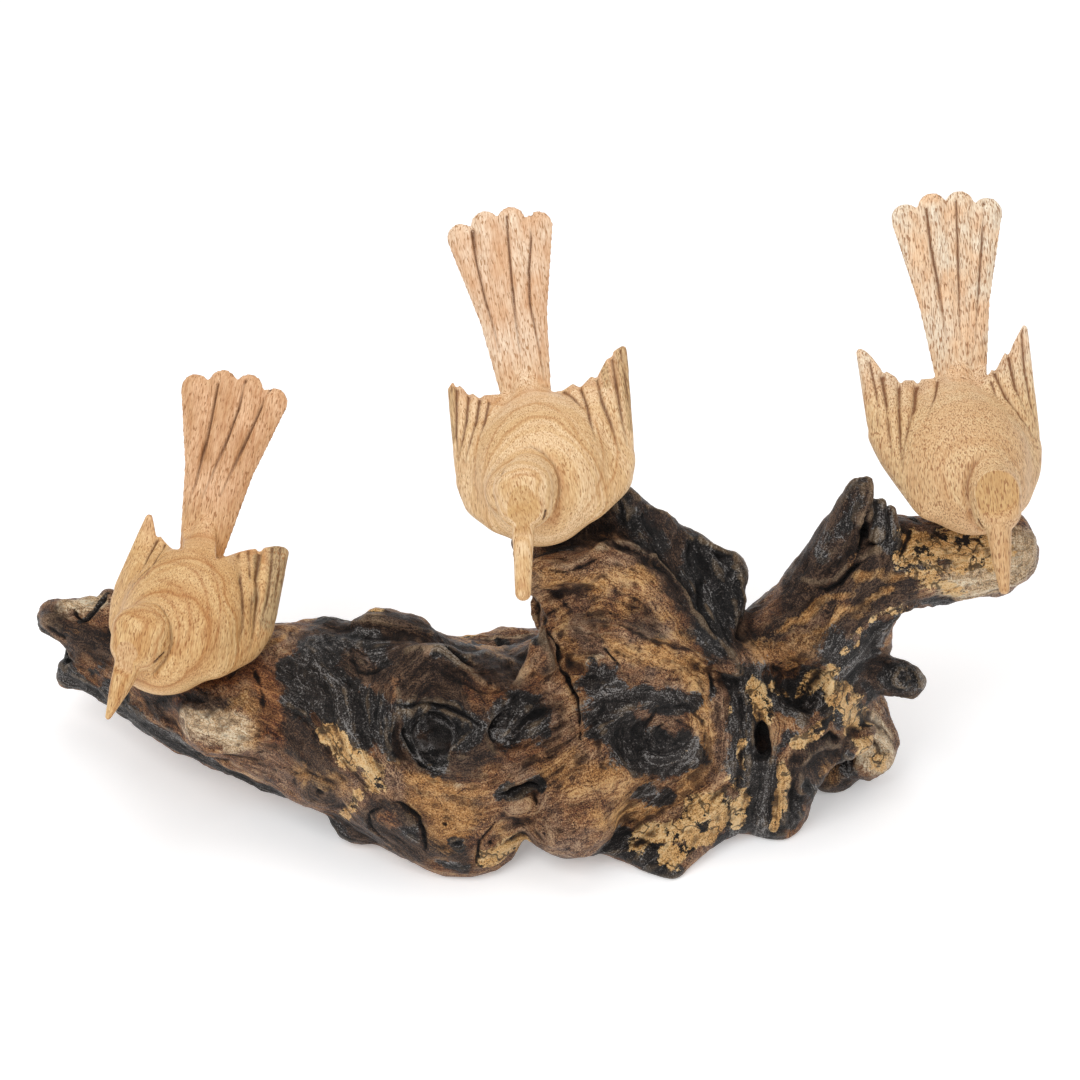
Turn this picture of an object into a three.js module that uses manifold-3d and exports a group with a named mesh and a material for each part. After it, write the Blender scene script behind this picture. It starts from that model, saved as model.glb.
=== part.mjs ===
// Three small birds carved in pale wood, perched on a dark gnarled root.
// Millimetres, +Z up. +X is to the right and +Y to the back of someone who stands before it.
import * as THREE from "three";
import { ImprovedNoise } from "three/addons/math/ImprovedNoise.js";
import { SimplifyModifier } from "three/addons/modifiers/SimplifyModifier.js";
import { mergeVertices } from "three/addons/utils/BufferGeometryUtils.js";
import Module from "manifold-3d";

const wasm = await Module();
wasm.setup();

// Driving dimensions
const rootCell = 3.6; // spacing of the grid that the root's skin is found on
const rootTriangles = 5100;
const lumpHeight = 1.6; // hand-sized unevenness of the root's skin
const lumpSpacing = 17;
const birdCell = 1.6;
const birdTriangles = 1420;
const tailRise = 50; // degrees that a tail is cocked above the level
const tailThickness = 4.8;
const gap = 0.3; // between a bird's flat belly and the spot levelled for it on the root
const standsAt = [-4.6, 91.5, 0]; // middle of the whole carving on the ground, in the root's frame

// Distances. Each returns how far a point is outside a form, negative inside it.
const clamp01 = (t) => Math.min(1, Math.max(0, t));
const smoothMin = (a, b, k) => {
  const h = Math.max(k - Math.abs(a - b), 0) / k;
  return Math.min(a, b) - (h * h * k) / 4;
};
const smoothMax = (a, b, k) => -smoothMin(-a, -b, k);

// The ball that holds all of a form's [x, y, z, radius] points, so that far forms are passed over.
function around(points) {
  const middle = [0, 1, 2].map((a) => points.reduce((sum, p) => sum + p[a] / points.length, 0));
  const reach = Math.max(
    ...points.map((p) => Math.hypot(...middle.map((m, a) => p[a] - m)) + (p[3] ?? 0)),
  );
  return { middle, reach };
}

// A rounded limb through points [x, y, z, radius].
function limb(...points) {
  const distance = (x, y, z) => {
    let best = Infinity;
    for (let i = 1; i < points.length; i++) {
      const [ax, ay, az, ar] = points[i - 1];
      const [bx, by, bz, br] = points[i];
      const [ux, uy, uz] = [bx - ax, by - ay, bz - az];
      const [px, py, pz] = [x - ax, y - ay, z - az];
      const t = clamp01((px * ux + py * uy + pz * uz) / (ux * ux + uy * uy + uz * uz));
      const d = Math.hypot(px - t * ux, py - t * uy, pz - t * uz) - ar - t * (br - ar);
      best = Math.min(best, d);
    }
    return best;
  };
  return { distance, ...around(points) };
}

// A web of wood stretched over a triangle, with a rounded edge.
function web(a, b, c, radius) {
  const [A, B, C] = [a, b, c].map((p) => new THREE.Vector3(...p));
  const sheet = new THREE.Triangle(A, B, C);
  const [point, nearest] = [new THREE.Vector3(), new THREE.Vector3()];
  const distance = (x, y, z) => {
    sheet.closestPointToPoint(point.set(x, y, z), nearest);
    return point.distanceTo(nearest) - radius;
  };
  return { distance, ...around([a, b, c].map((corner) => [...corner, radius])) };
}

// An ellipsoid, turned by degrees about X, Y and Z.
function lump(centre, radii, turn = [0, 0, 0]) {
  const back = new THREE.Matrix4()
    .makeRotationFromEuler(new THREE.Euler(...turn.map(THREE.MathUtils.degToRad), "ZYX"))
    .invert();
  const p = new THREE.Vector3();
  const [rx, ry, rz] = radii;
  const distance = (x, y, z) => {
    p.set(x - centre[0], y - centre[1], z - centre[2]).applyMatrix4(back);
    const k = Math.hypot(p.x / rx, p.y / ry, p.z / rz);
    const g = Math.hypot(p.x / (rx * rx), p.y / (ry * ry), p.z / (rz * rz));
    return g < 1e-9 ? -Math.min(rx, ry, rz) : (k * (k - 1)) / g;
  };
  return { distance, middle: centre, reach: Math.max(...radii) };
}

// The field of a carved form: woods joined one after another, then hollows cut out of them.
function carved(woods, hollows) {
  const away = ({ middle, reach }, x, y, z) =>
    Math.hypot(x - middle[0], y - middle[1], z - middle[2]) - reach;
  return (x, y, z) => {
    let d = Infinity;
    for (const [form, blend] of woods)
      if (away(form, x, y, z) < d + blend) d = smoothMin(d, form.distance(x, y, z), blend);
    for (const [form, blend] of hollows)
      if (-away(form, x, y, z) > d - blend) d = smoothMax(d, -form.distance(x, y, z), blend);
    return d;
  };
}

// The skin of a distance field: six tetrahedra to a grid cube, each cut where the field is zero.
function skinOf(field, low, high, cell) {
  const n = low.map((v, a) => Math.ceil((high[a] - v) / cell) + 1);
  const place = (i) => [
    low[0] + cell * (i % n[0]),
    low[1] + cell * (Math.floor(i / n[0]) % n[1]),
    low[2] + cell * Math.floor(i / (n[0] * n[1])),
  ];
  const value = new Float32Array(n[0] * n[1] * n[2]).map((_, i) => field(...place(i)));
  const corner = [0, 1, 2, 3, 4, 5, 6, 7].map(
    (c) => (c & 1) + ((c >> 1) & 1) * n[0] + (c >> 2) * n[0] * n[1],
  );
  const tetrahedra = [
    [0, 1, 3, 7],
    [0, 1, 5, 7],
    [0, 2, 3, 7],
    [0, 2, 6, 7],
    [0, 4, 5, 7],
    [0, 4, 6, 7],
  ];
  const positions = [];
  const triangles = [];
  const known = new Map();
  const crossing = (a, b) => {
    const key = Math.min(a, b) * value.length + Math.max(a, b);
    if (!known.has(key)) {
      const t = Math.min(0.96, Math.max(0.04, value[a] / (value[a] - value[b])));
      const [pa, pb] = [place(a), place(b)];
      known.set(key, positions.length / 3);
      positions.push(...pa.map((v, axis) => v + t * (pb[axis] - v)));
    }
    return known.get(key);
  };
  const at = (v) => new THREE.Vector3().fromArray(positions, 3 * v);
  const outward = (inside, outside, tri) => {
    const [p, q, r] = tri.map(at);
    const normal = q.sub(p).cross(r.sub(p));
    const out = new THREE.Vector3(...place(outside)).sub(new THREE.Vector3(...place(inside)));
    triangles.push(...(normal.dot(out) > 0 ? tri : [tri[0], tri[2], tri[1]]));
  };
  for (let k = 0; k < n[2] - 1; k++)
    for (let j = 0; j < n[1] - 1; j++)
      for (let i = 0; i < n[0] - 1; i++) {
        const first = i + j * n[0] + k * n[0] * n[1];
        for (const tetra of tetrahedra) {
          const all = tetra.map((c) => first + corner[c]);
          const ins = all.filter((v) => value[v] < 0);
          const outs = all.filter((v) => value[v] >= 0);
          if (ins.length === 1 || ins.length === 3) {
            const [one, three] = ins.length === 1 ? [ins[0], outs] : [outs[0], ins];
            outward(
              ins[0],
              outs[0],
              three.map((v) => crossing(one, v)),
            );
          } else if (ins.length === 2) {
            const [a, b, c, d] = [ins, outs].flat();
            const quad = [crossing(a, c), crossing(a, d), crossing(b, d), crossing(b, c)];
            outward(a, c, [quad[0], quad[1], quad[2]]);
            outward(a, c, [quad[0], quad[2], quad[3]]);
          }
        }
      }
  const geometry = new THREE.BufferGeometry();
  geometry.setAttribute("position", new THREE.Float32BufferAttribute(positions, 3));
  return geometry.setIndex(triangles);
}

async function simplified(geometry, triangles) {
  const spare = (geometry.index.count / 3 - triangles) / 2;
  return spare > 0 ? new SimplifyModifier().modify(geometry, spare) : geometry;
}

// Root: [form, blend] pairs. A larger blend flows more softly into the wood before it.
const log = limb(
  [-186, 103, 38, 19],
  [-168, 93, 36, 24],
  [-145, 80, 36, 29],
  [-118, 68, 39, 34],
  [-88, 58, 41, 40],
  [-58, 46, 43, 43],
  [-30, 44, 40, 40],
  [0, 52, 34, 34],
);
const rootWood = [
  [log, 1],
  [limb([-186, 103, 46, 12], [-208, 108, 51, 9]), 6], // upper lip of the torn end
  [limb([-186, 98, 30, 13], [-201, 97, 28, 8]), 6], // lower lip
  [limb([-184, 104, 50, 11], [-168, 100, 55, 9]), 6],
  [limb([-138, 74, 44, 20], [-147, 64, 55, 14.5]), 8], // seat of the left bird
  [limb([-106, 56, 46, 20], [-124, 46, 51, 16], [-136, 44, 52, 13]), 10], // stub under the low bird
  [limb([-66, 66, 76, 13], [-52, 66, 76, 10]), 5], // dark knob
  [limb([-58, 46, 72, 7], [-49, 46, 82, 7], [-38, 46, 83, 7], [-29, 43, 75, 7]), 5], // hood
  [limb([-29, 43, 75, 7], [-20, 36, 63, 8]), 5],
  [lump([-39, 25, 20], [30, 26, 25]), 12], // front lobe
  [lump([-30, 12, 8], [20, 12, 12]), 8],
  [lump([-56, 14, 20], [11, 6, 12], [-20, 0, 10]), 3], // disc knot
  [lump([-76, 27, 8], [11, 10, 9]), 5],
  [lump([-10, 34, 14], [16, 16, 18]), 8],
  [limb([-36, 92, 42, 10], [-17, 97, 42, 9], [6, 99, 40, 10]), 8], // ridge behind the valley
  [limb([20, 62, 40, 36], [-16, 92, 12, 22]), 16], // hidden back root
  [limb([38, 52, 28, 34], [40, 62, 60, 38], [36, 66, 92, 32], [26, 66, 108, 22]), 14], // middle mass
  [limb([13, 15, 24, 18], [20, 22, 42, 17], [34, 40, 58, 22]), 8], // round nose
  [limb([32, 68, 98, 20], [3, 73, 121, 15]), 10], // seat of the middle bird
  [limb([20, 58, 90, 18], [-2, 56, 108, 9]), 8],
  [limb([0, 50, 126, 7], [24, 56, 128, 7], [44, 54, 118, 7], [61, 48, 98, 7], [78, 46, 84, 6]), 8], // lip
  [web([26, 77, 133], [33, 77, 141], [40, 66, 90], 6), 6], // back plate
  [web([33, 76, 141], [62, 76, 116], [40, 66, 90], 6), 5],
  [web([62, 76, 116], [77, 68, 113], [40, 66, 90], 6), 5],
  [web([77, 68, 113], [78, 58, 78], [40, 66, 90], 6), 5],
  [web([0, 42, 99], [-6, 38, 74], [12, 38, 70], 4), 4], // pointed flap
  [limb([63, 26, 12, 16], [56, 10, 2, 6]), 8], // front foot
  [web([20, 20, 8], [53, 8, 3], [60, 40, 30], 6), 8],
  [limb([80, 52, 40, 30], [104, 60, 50, 32], [108, 66, 72, 25]), 14], // right body
  [limb([98, 46, 36, 22], [101, 34, 6, 10]), 10], // right foot
  [limb([70, 40, 16, 18], [99, 36, 8, 11]), 10],
  [limb([104, 62, 66, 24], [124, 74, 92, 20], [144, 80, 103, 18]), 12], // arm
  [limb([144, 80, 103, 18], [165, 86, 103, 19], [186, 90, 103, 18]), 12],
  [lump([191, 90, 103], [13, 15, 17], [0, 20, 0]), 6],
  [limb([112, 74, 98, 12], [124, 80, 126, 8.5], [130, 83, 142, 5.5]), 6], // tall prong
  [limb([130, 78, 104, 10], [137, 81, 132, 4.5]), 4], // short prong
  [limb([146, 74, 112, 8], [142, 80, 122, 5]), 4],
  [limb([104, 62, 52, 24], [137, 63, 61, 10], [154, 60, 58, 6.5]), 8], // spur
  [limb([112, 66, 46, 22], [129, 68, 34, 18], [138, 62, 20, 15]), 8], // rear foot
  [limb([122, 70, 22, 14], [125, 60, 5, 10]), 6],
  [limb([104, 31, 8, 5], [107, 33, 18, 5.5], [112, 34, 32, 6]), 3], // arch
  [limb([112, 34, 32, 6], [124, 38, 40, 5.5], [134, 46, 40, 6]), 3],
];
const rootHollows = [
  [lump([-45, 10, 70], [14, 16, 13], [0, 0, 10]), 4], // cave under the hood
  [lump([-12, 26, 64], [11, 12, 7]), 4],
  [limb([-9, -6, 34, 4], [-3, 30, 36, 5]), 4], // gap beside the nose
  [limb([30, 66, 128, 7], [48, 62, 112, 9], [70, 56, 92, 5]), 5], // trough between lip and plate
  [limb([-208, 96, 40, 4], [-194, 98, 40, 3]), 3], // torn mouth
  [limb([92, 30, 50, 3], [91, 30, 64, 3.4]), 2], // slit
  [limb([126, 20, 16, 9], [124, 60, 26, 8]), 4], // under the arch
  [limb([126, 70, 150, 3], [136, 74, 120, 3]), 2],
  [lump([104, 40, 74], [14, 10, 12], [0, 30, 0]), 8],
  [lump([44, 20, 62], [14, 8, 12]), 6],
];

const noise = new ImprovedNoise();
const rootForm = carved(rootWood, rootHollows);
const rootField = (x, y, z) =>
  rootForm(x, y, z) +
  lumpHeight * noise.noise(x / lumpSpacing, y / lumpSpacing + 7, z / lumpSpacing + 3);

// Booleans
function solidOf(geometry) {
  return new wasm.Manifold(
    new wasm.Mesh({
      numProp: 3,
      vertProperties: new Float32Array(geometry.getAttribute("position").array),
      triVerts: new Uint32Array(geometry.index.array),
    }),
  );
}
function geometryOf(solid) {
  const mesh = solid.getMesh();
  const geometry = new THREE.BufferGeometry();
  geometry.setAttribute("position", new THREE.BufferAttribute(mesh.vertProperties, 3));
  return geometry.setIndex(new THREE.BufferAttribute(mesh.triVerts, 1));
}
function bare(geometry) {
  geometry.deleteAttribute("normal");
  geometry.deleteAttribute("uv");
  return mergeVertices(geometry);
}
function box(low, high) {
  const size = low.map((v, a) => high[a] - v);
  return bare(new THREE.BoxGeometry(...size).translate(...low.map((v, a) => v + size[a] / 2)));
}

// Birds. Each is carved in its own frame: it faces -Y and its origin is the middle of its body.
const along = new THREE.Vector3(0, 1, 0).applyAxisAngle(
  new THREE.Vector3(1, 0, 0),
  THREE.MathUtils.degToRad(tailRise),
);
const tailRoot = new THREE.Vector3(0, 31, 12);

// A flat feather of the tail, from [across, along, radius] to the same at its round tip.
function feather([u0, v0, r0], [u1, v1, r1], lift) {
  const distance = (x, y, z) => {
    const v = (y - tailRoot.y) * along.y + (z - tailRoot.z) * along.z;
    const w = (z - tailRoot.z) * along.y - (y - tailRoot.y) * along.z - lift;
    const [du, dv] = [u1 - u0, v1 - v0];
    const t = clamp01(((x - u0) * du + (v - v0) * dv) / (du * du + dv * dv));
    const flat = Math.hypot(x - u0 - t * du, v - v0 - t * dv) - r0 - t * (r1 - r0);
    return smoothMax(flat, Math.abs(w) - tailThickness / 2, 2.4);
  };
  return { distance, middle: [0, tailRoot.y + 22, tailRoot.z + 26], reach: 68 };
}

// One side's wing: a sheet that hugs the body, ridged by feathers that end in steps up to the tip.
function wing(side, tip, edge) {
  const at = (x, y, z) => [side * x, y, z];
  const [tx, ty, tz] = tip;
  const inner = [13, 29, 15];
  const step = (t) => at(tx + t * (inner[0] - tx), ty + t * (inner[1] - ty), tz + t * (inner[2] - tz));
  return [
    [web(at(15, -20, 0), at(...edge), at(tx, ty, tz), 2.6), 5],
    [web(at(15, -20, 0), at(tx, ty, tz), at(...inner), 2.6), 5],
    [limb([...at(21, -17, -3), 4], [...at(edge[0], edge[1] + 2, edge[2] + 3), 4.4], [...step(0), 2]), 3],
    [limb([...at(21, -14, 2), 4], [...at(32, 8, 6), 4.2], [...step(0.2), 2]), 1.6],
    [limb([...at(20, -10, 7), 4], [...at(28, 10, 11), 4], [...step(0.45), 2]), 1.6],
    [limb([...at(17, -4, 11), 4], [...at(22, 12, 15), 4], [...step(0.7), 2.2]), 1.6],
  ];
}

function birdField({ head, beak, breast, tips, edges, tail }) {
  const [hx, hy, hz] = head;
  const toward = (t) => head.map((h, a) => h + t * (beak[a] - h));
  const swing = Math.tan(THREE.MathUtils.degToRad(tail.lean));
  const feathers = [-1, -1 / 3, 1 / 3, 1].map((f) => {
    const end = tail.length - 0.35 * tail.spread - 4 * f * f;
    const tip = [tail.x + swing * end + 0.73 * tail.spread * f, end, 0.27 * tail.spread];
    return feather([tail.x + 5.5 * f, -8, 4.8], tip, 0.35 * (1 - Math.abs(f)));
  });
  return carved(
    [
      [lump([0, 0, 0], [28, 36, 23], [10, 0, 0]), 1],
      [lump(breast, [22, 21, 20]), 12],
      [limb([0, 12, 3, 19], [0.7 * tail.x, 30, 12, 10], [tail.x, 37, 19.5, 6]), 9], // rump
      [limb([0.4 * hx, -14, 3, 15], [0.9 * hx, hy + 4, hz, 12]), 8], // neck
      [lump([hx, hy, hz], [13, 13.5, 13]), 3],
      [lump([0.95 * hx, hy + 1, hz + 4], [11, 12.5, 10]), 2], // cap
      [limb([...toward(0.28), 5.2], [...toward(0.6), 4], [...toward(0.95), 2.6]), 4],
      ...wing(-1, tips[0], edges[0]),
      ...wing(1, tips[1], edges[1]),
      ...feathers.map((form, i) => [form, i ? 0.6 : 4]),
    ],
    [],
  );
}

// Places are in the root's frame. `seat` is the levelled spot, [x, y, z, radius].
const birds = {
  bird_left: {
    place: [-144.3, 69, 89],
    turn: -16,
    roll: 0,
    head: [-9, -31.5, 10],
    beak: [-14, -58, -12],
    breast: [-5, -17, -6],
    tips: [[27, 28, 22], [32, 31, 17]],
    edges: [[33, 4, -4], [32, 4, -4]],
    tail: { x: -5, lean: 2, length: 74, spread: 23.5 },
    seat: [-142, 66, 68.5, 20],
    colour: 0xd9a566,
  },
  bird_middle: {
    place: [1, 80, 156.5],
    turn: 0,
    roll: -11,
    head: [-5, -34, 13.5],
    beak: [-10, -63, -12],
    breast: [-1, -15, -3],
    tips: [[33, 31, 24], [38, 36, 25]],
    edges: [[33, 4, -4], [34, 4, -4]],
    tail: { x: -4, lean: -1, length: 80, spread: 21.8 },
    seat: [2, 74, 136, 15],
    colour: 0xdcae74,
  },
  bird_right: {
    place: [172, 101, 145],
    turn: 8,
    roll: 0,
    head: [6, -37, 6],
    beak: [3, -64.5, -18],
    breast: [2, -16, -3],
    tips: [[34.5, 42.5, 25.5], [33, 38, 34]],
    edges: [[33, 13, 5], [32, 6, -2]],
    tail: { x: 7, lean: 0, length: 83, spread: 23.5 },
    seat: [173, 95, 124, 16],
    colour: 0xe0b57e,
  },
};

function drum([x, y, , radius], low, high) {
  const geometry = new THREE.CylinderGeometry(radius, radius, high - low, 24);
  geometry.rotateX(Math.PI / 2);
  return bare(geometry.translate(x, y, (low + high) / 2));
}

const rootSkin = await simplified(
  skinOf(rootField, [-230, -12, -12], [224, 132, 164], rootCell),
  rootTriangles,
);
let rootSolid = solidOf(rootSkin).subtract(solidOf(box([-300, -100, -60], [300, 250, 0])));

const group = new THREE.Group();
group.position.set(...standsAt.map((v) => -v));
for (const [name, bird] of Object.entries(birds)) {
  const skin = await simplified(
    skinOf(birdField(bird), [-50, -70, -32], [50, 86, 76], birdCell),
    birdTriangles,
  );
  const mesh = new THREE.Mesh(
    undefined,
    new THREE.MeshStandardMaterial({ color: bird.colour, roughness: 0.6, metalness: 0 }),
  );
  mesh.name = name;
  mesh.position.set(...bird.place);
  mesh.rotation.set(
    0,
    THREE.MathUtils.degToRad(bird.roll),
    THREE.MathUtils.degToRad(bird.turn),
    "ZYX",
  );
  mesh.updateMatrix();
  const level = bird.seat[2];
  const below = drum(bird.seat, level - 40, level + gap).applyMatrix4(mesh.matrix.clone().invert());
  mesh.geometry = geometryOf(solidOf(skin).subtract(solidOf(below)));
  rootSolid = rootSolid.subtract(solidOf(drum(bird.seat, level, level + 30)));
  group.add(mesh);
}

const rootMesh = new THREE.Mesh(
  geometryOf(rootSolid),
  new THREE.MeshStandardMaterial({ color: 0x5a3b27, roughness: 0.8, metalness: 0 }),
);
rootMesh.name = "root_base";
group.add(rootMesh);
export default group;
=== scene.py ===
import math

import bmesh
import bpy
import numpy as np
from mathutils import Euler, Matrix, Vector, noise
from mathutils.bvhtree import BVHTree
from mathutils.kdtree import KDTree


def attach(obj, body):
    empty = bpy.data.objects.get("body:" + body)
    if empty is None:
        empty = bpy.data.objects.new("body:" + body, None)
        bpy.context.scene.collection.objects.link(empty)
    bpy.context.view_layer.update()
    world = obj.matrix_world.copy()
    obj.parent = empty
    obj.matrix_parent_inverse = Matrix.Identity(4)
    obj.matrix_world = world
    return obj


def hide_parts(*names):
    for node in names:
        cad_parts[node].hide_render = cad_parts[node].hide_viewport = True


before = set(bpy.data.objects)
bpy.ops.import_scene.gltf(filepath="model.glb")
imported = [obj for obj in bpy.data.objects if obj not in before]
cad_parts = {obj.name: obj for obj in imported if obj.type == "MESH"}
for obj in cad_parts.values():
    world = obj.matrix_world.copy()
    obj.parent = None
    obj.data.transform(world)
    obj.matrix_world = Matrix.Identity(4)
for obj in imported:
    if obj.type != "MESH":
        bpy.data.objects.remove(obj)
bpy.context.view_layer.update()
scene = bpy.context.scene
mm = 0.001  # shapes are worked in millimetres and scaled once, when they are finished

# Camera, at the photograph's angle. Pixels are those of its 1080 x 1080 picture.
photo = {
    "target": (4.6, -31.5, 135.0),
    "distance": 1200.0,
    "elevation": 40.0,
    "lens": 100.0,
    "sensor": 36.0,
    "pixels": 1080,
}
tilt = math.radians(photo["elevation"])
ahead = Vector((0, math.cos(tilt), -math.sin(tilt)))
above = Vector((0, math.sin(tilt), math.cos(tilt)))
eyePoint = Vector(photo["target"]) - ahead * photo["distance"]
cameraData = bpy.data.cameras.new("camera")
cameraData.lens = photo["lens"]
cameraData.sensor_width = photo["sensor"]
cameraData.clip_start = 0.05
camera = bpy.data.objects.new("camera", cameraData)
camera.location = eyePoint * mm
camera.rotation_euler = (math.pi / 2 - tilt, 0, 0)
scene.collection.objects.link(camera)
scene.camera = camera


# Shape helpers
def rayThrough(pixel):
    half = photo["pixels"] / 2
    focal = photo["lens"] / photo["sensor"] * photo["pixels"]
    return (ahead * focal + Vector((pixel[0] - half, 0, 0)) + above * (half - pixel[1])).normalized()


def onSurface(tree, pixel):  # the point of the piece that the pixel shows, or the nearest one to it
    ray = rayThrough(pixel)
    hit = tree.ray_cast(eyePoint, ray)
    if hit[0] is not None:
        return np.array(hit[0])
    near = [tree.find_nearest(eyePoint + ray * step) for step in range(1060, 1320, 6)]
    return np.array(min(near, key=lambda found: found[3])[0])


def traced(tree, pixels):
    return np.array([onSurface(tree, pixel) for pixel in pixels])


def nearLine(points, line):  # distance to a line, its heading there, how far along, and the way from it
    best = np.full(len(points), 1e9)
    heading = np.zeros((len(points), 3))
    along = np.full(len(points), 0.5)
    aside = points - line[0]
    if len(line) == 1:
        return np.linalg.norm(aside, axis=1), heading, along, aside
    lengths = np.maximum(np.linalg.norm(np.diff(line, axis=0), axis=1), 1e-6)
    walked = 0.0
    for start, end, length in zip(line[:-1], line[1:], lengths):
        run = end - start
        share = np.clip((points - start) @ run / length**2, 0, 1)
        off = points - start - share[:, None] * run
        gap = np.linalg.norm(off, axis=1)
        closer = gap < best
        best[closer] = gap[closer]
        heading[closer] = run / length
        along[closer] = (walked + share[closer] * length) / lengths.sum()
        aside[closer] = off[closer]
        walked += length
    return best, heading, along, aside


def smoothStep(low, high, values):
    share = np.clip((values - low) / (high - low), 0, 1)
    return share * share * (3 - 2 * share)


def grainNoise(points, size, seed=0.0):  # soft noise from -1 to 1 with lumps of that size
    shift = Vector((seed * 7.3, seed * 3.1, seed * 5.7))
    return np.array([noise.noise(Vector(p) / size + shift) for p in points])


def addHull(shape, balls):  # the skin stretched over balls given as (centre, radii, tilt in degrees)
    part = bmesh.new()
    for centre, radii, *turn in balls:
        radii = (radii,) * 3 if isinstance(radii, (int, float)) else radii
        turned = Euler([math.radians(a) for a in turn[0]]) if turn else Euler()
        place = Matrix.LocRotScale(Vector(centre), turned, Vector(radii))
        bmesh.ops.create_icosphere(part, subdivisions=3, radius=1.0, matrix=place)
    bmesh.ops.delete(part, geom=part.edges[:], context="EDGES_FACES")
    bmesh.ops.convex_hull(part, input=part.verts[:])
    bmesh.ops.delete(part, geom=[v for v in part.verts if not v.link_faces], context="VERTS")
    bmesh.ops.recalc_face_normals(part, faces=part.faces[:])
    skin = bpy.data.meshes.new("hull")
    part.to_mesh(skin)
    part.free()
    shape.from_mesh(skin)
    bpy.data.meshes.remove(skin)


def addLimb(shape, *balls):  # a branch through balls given as (x, y, z, radius)
    for start, end in zip(balls[:-1], balls[1:]):
        addHull(shape, [(start[:3], start[3]), (end[:3], end[3])])


def fused(shape, voxel, passes, factor=0.5):  # one closed skin round everything in the shape, sanded
    mesh = bpy.data.meshes.new("fused")
    shape.to_mesh(mesh)
    shape.free()
    blank = bpy.data.objects.new("fused", mesh)
    scene.collection.objects.link(blank)
    skin = blank.modifiers.new("Skin", "REMESH")
    skin.mode = "VOXEL"
    skin.voxel_size = voxel
    sand = blank.modifiers.new("Sand", "SMOOTH")
    sand.factor = factor
    sand.iterations = passes
    baked = bpy.data.meshes.new_from_object(blank.evaluated_get(bpy.context.evaluated_depsgraph_get()))
    bpy.data.objects.remove(blank)
    return baked


def seenBlock(outline, middle, reach):  # a block that the camera sees as that outline
    depth = (Vector(middle) - eyePoint).length
    block = bmesh.new()
    near = [block.verts.new(eyePoint + rayThrough(pixel) * (depth - reach)) for pixel in outline]
    pushed = bmesh.ops.extrude_face_region(block, geom=[block.faces.new(near)])["geom"]
    for vertex in pushed:
        if isinstance(vertex, bmesh.types.BMVert):
            vertex.co = eyePoint + (vertex.co - eyePoint) * (depth + reach) / (depth - reach)
    bmesh.ops.recalc_face_normals(block, faces=block.faces[:])
    return block


def cutAway(mesh, shape):  # the mesh less everything in the shape
    tool = bpy.data.objects.new("tool", bpy.data.meshes.new("tool"))
    shape.to_mesh(tool.data)
    shape.free()
    blank = bpy.data.objects.new("blank", mesh)
    for piece in (tool, blank):
        scene.collection.objects.link(piece)
    cut = blank.modifiers.new("Cut", "BOOLEAN")
    cut.object = tool
    cut.operation = "DIFFERENCE"
    cut.solver = "EXACT"
    baked = bpy.data.meshes.new_from_object(blank.evaluated_get(bpy.context.evaluated_depsgraph_get()))
    for piece in (tool, blank):
        bpy.data.objects.remove(piece)
    return baked


def coordsOf(mesh):
    flat = np.empty(len(mesh.vertices) * 3)
    mesh.vertices.foreach_get("co", flat)
    return flat.reshape(-1, 3)


def normalsOf(mesh):
    flat = np.empty(len(mesh.vertices) * 3)
    mesh.vertices.foreach_get("normal", flat)
    return flat.reshape(-1, 3)


def moveTo(mesh, points):
    mesh.vertices.foreach_set("co", points.astype(np.float32).ravel())
    mesh.update()


def neighboursOf(mesh):
    flat = np.empty(len(mesh.edges) * 2, int)
    mesh.edges.foreach_get("vertices", flat)
    return flat.reshape(-1, 2)


def blurred(values, edges, passes):  # values spread over the skin
    count = np.bincount(edges.ravel(), minlength=len(values))
    for _ in range(passes):
        total = np.bincount(edges[:, 0], values[edges[:, 1]], len(values))
        total += np.bincount(edges[:, 1], values[edges[:, 0]], len(values))
        values = 0.5 * values + 0.5 * total / np.maximum(count, 1)
    return values


def treeOf(mesh):
    return BVHTree.FromPolygons([v.co for v in mesh.vertices], [p.vertices for p in mesh.polygons])


def paint(mesh, name, values):
    layer = mesh.attributes.new(name, "FLOAT", "POINT")
    layer.data.foreach_set("value", np.clip(values, 0, 1).astype(np.float32))


def finishPiece(mesh, name, node, material):  # places the finished skin in the frame, in metres
    mesh.transform(Matrix.Scale(mm, 4))
    mesh.name = name
    mesh.shade_smooth()
    mesh.materials.clear()
    mesh.materials.append(material)
    piece = bpy.data.objects.new(name, mesh)
    scene.collection.objects.link(piece)
    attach(piece, "root")
    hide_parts(node)
    return piece


# Material helpers
def linear(hexColour):
    parts = [int(hexColour[i : i + 2], 16) / 255 for i in (1, 3, 5)]
    return (*[p / 12.92 if p <= 0.04045 else ((p + 0.055) / 1.055) ** 2.4 for p in parts], 1.0)


def addNode(tree, kind, inputs=None, stops=None, **settings):
    node = tree.nodes.new("ShaderNode" + kind)
    for name, value in settings.items():
        setattr(node, name, value)
    for name, value in (inputs or {}).items():
        if isinstance(value, bpy.types.NodeSocket):
            tree.links.new(value, node.inputs[name])
        else:
            node.inputs[name].default_value = value
    if stops:
        ramp = node.color_ramp
        while len(ramp.elements) < len(stops):
            ramp.elements.new(0.5)
        for element, (position, colour) in zip(ramp.elements, stops):
            element.position = position
            element.color = linear(colour) if isinstance(colour, str) else (colour,) * 3 + (1.0,)
    return node


def newMaterial(name):
    material = bpy.data.materials.new(name)
    material.use_nodes = True
    material.node_tree.nodes.clear()
    return material, material.node_tree


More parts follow.
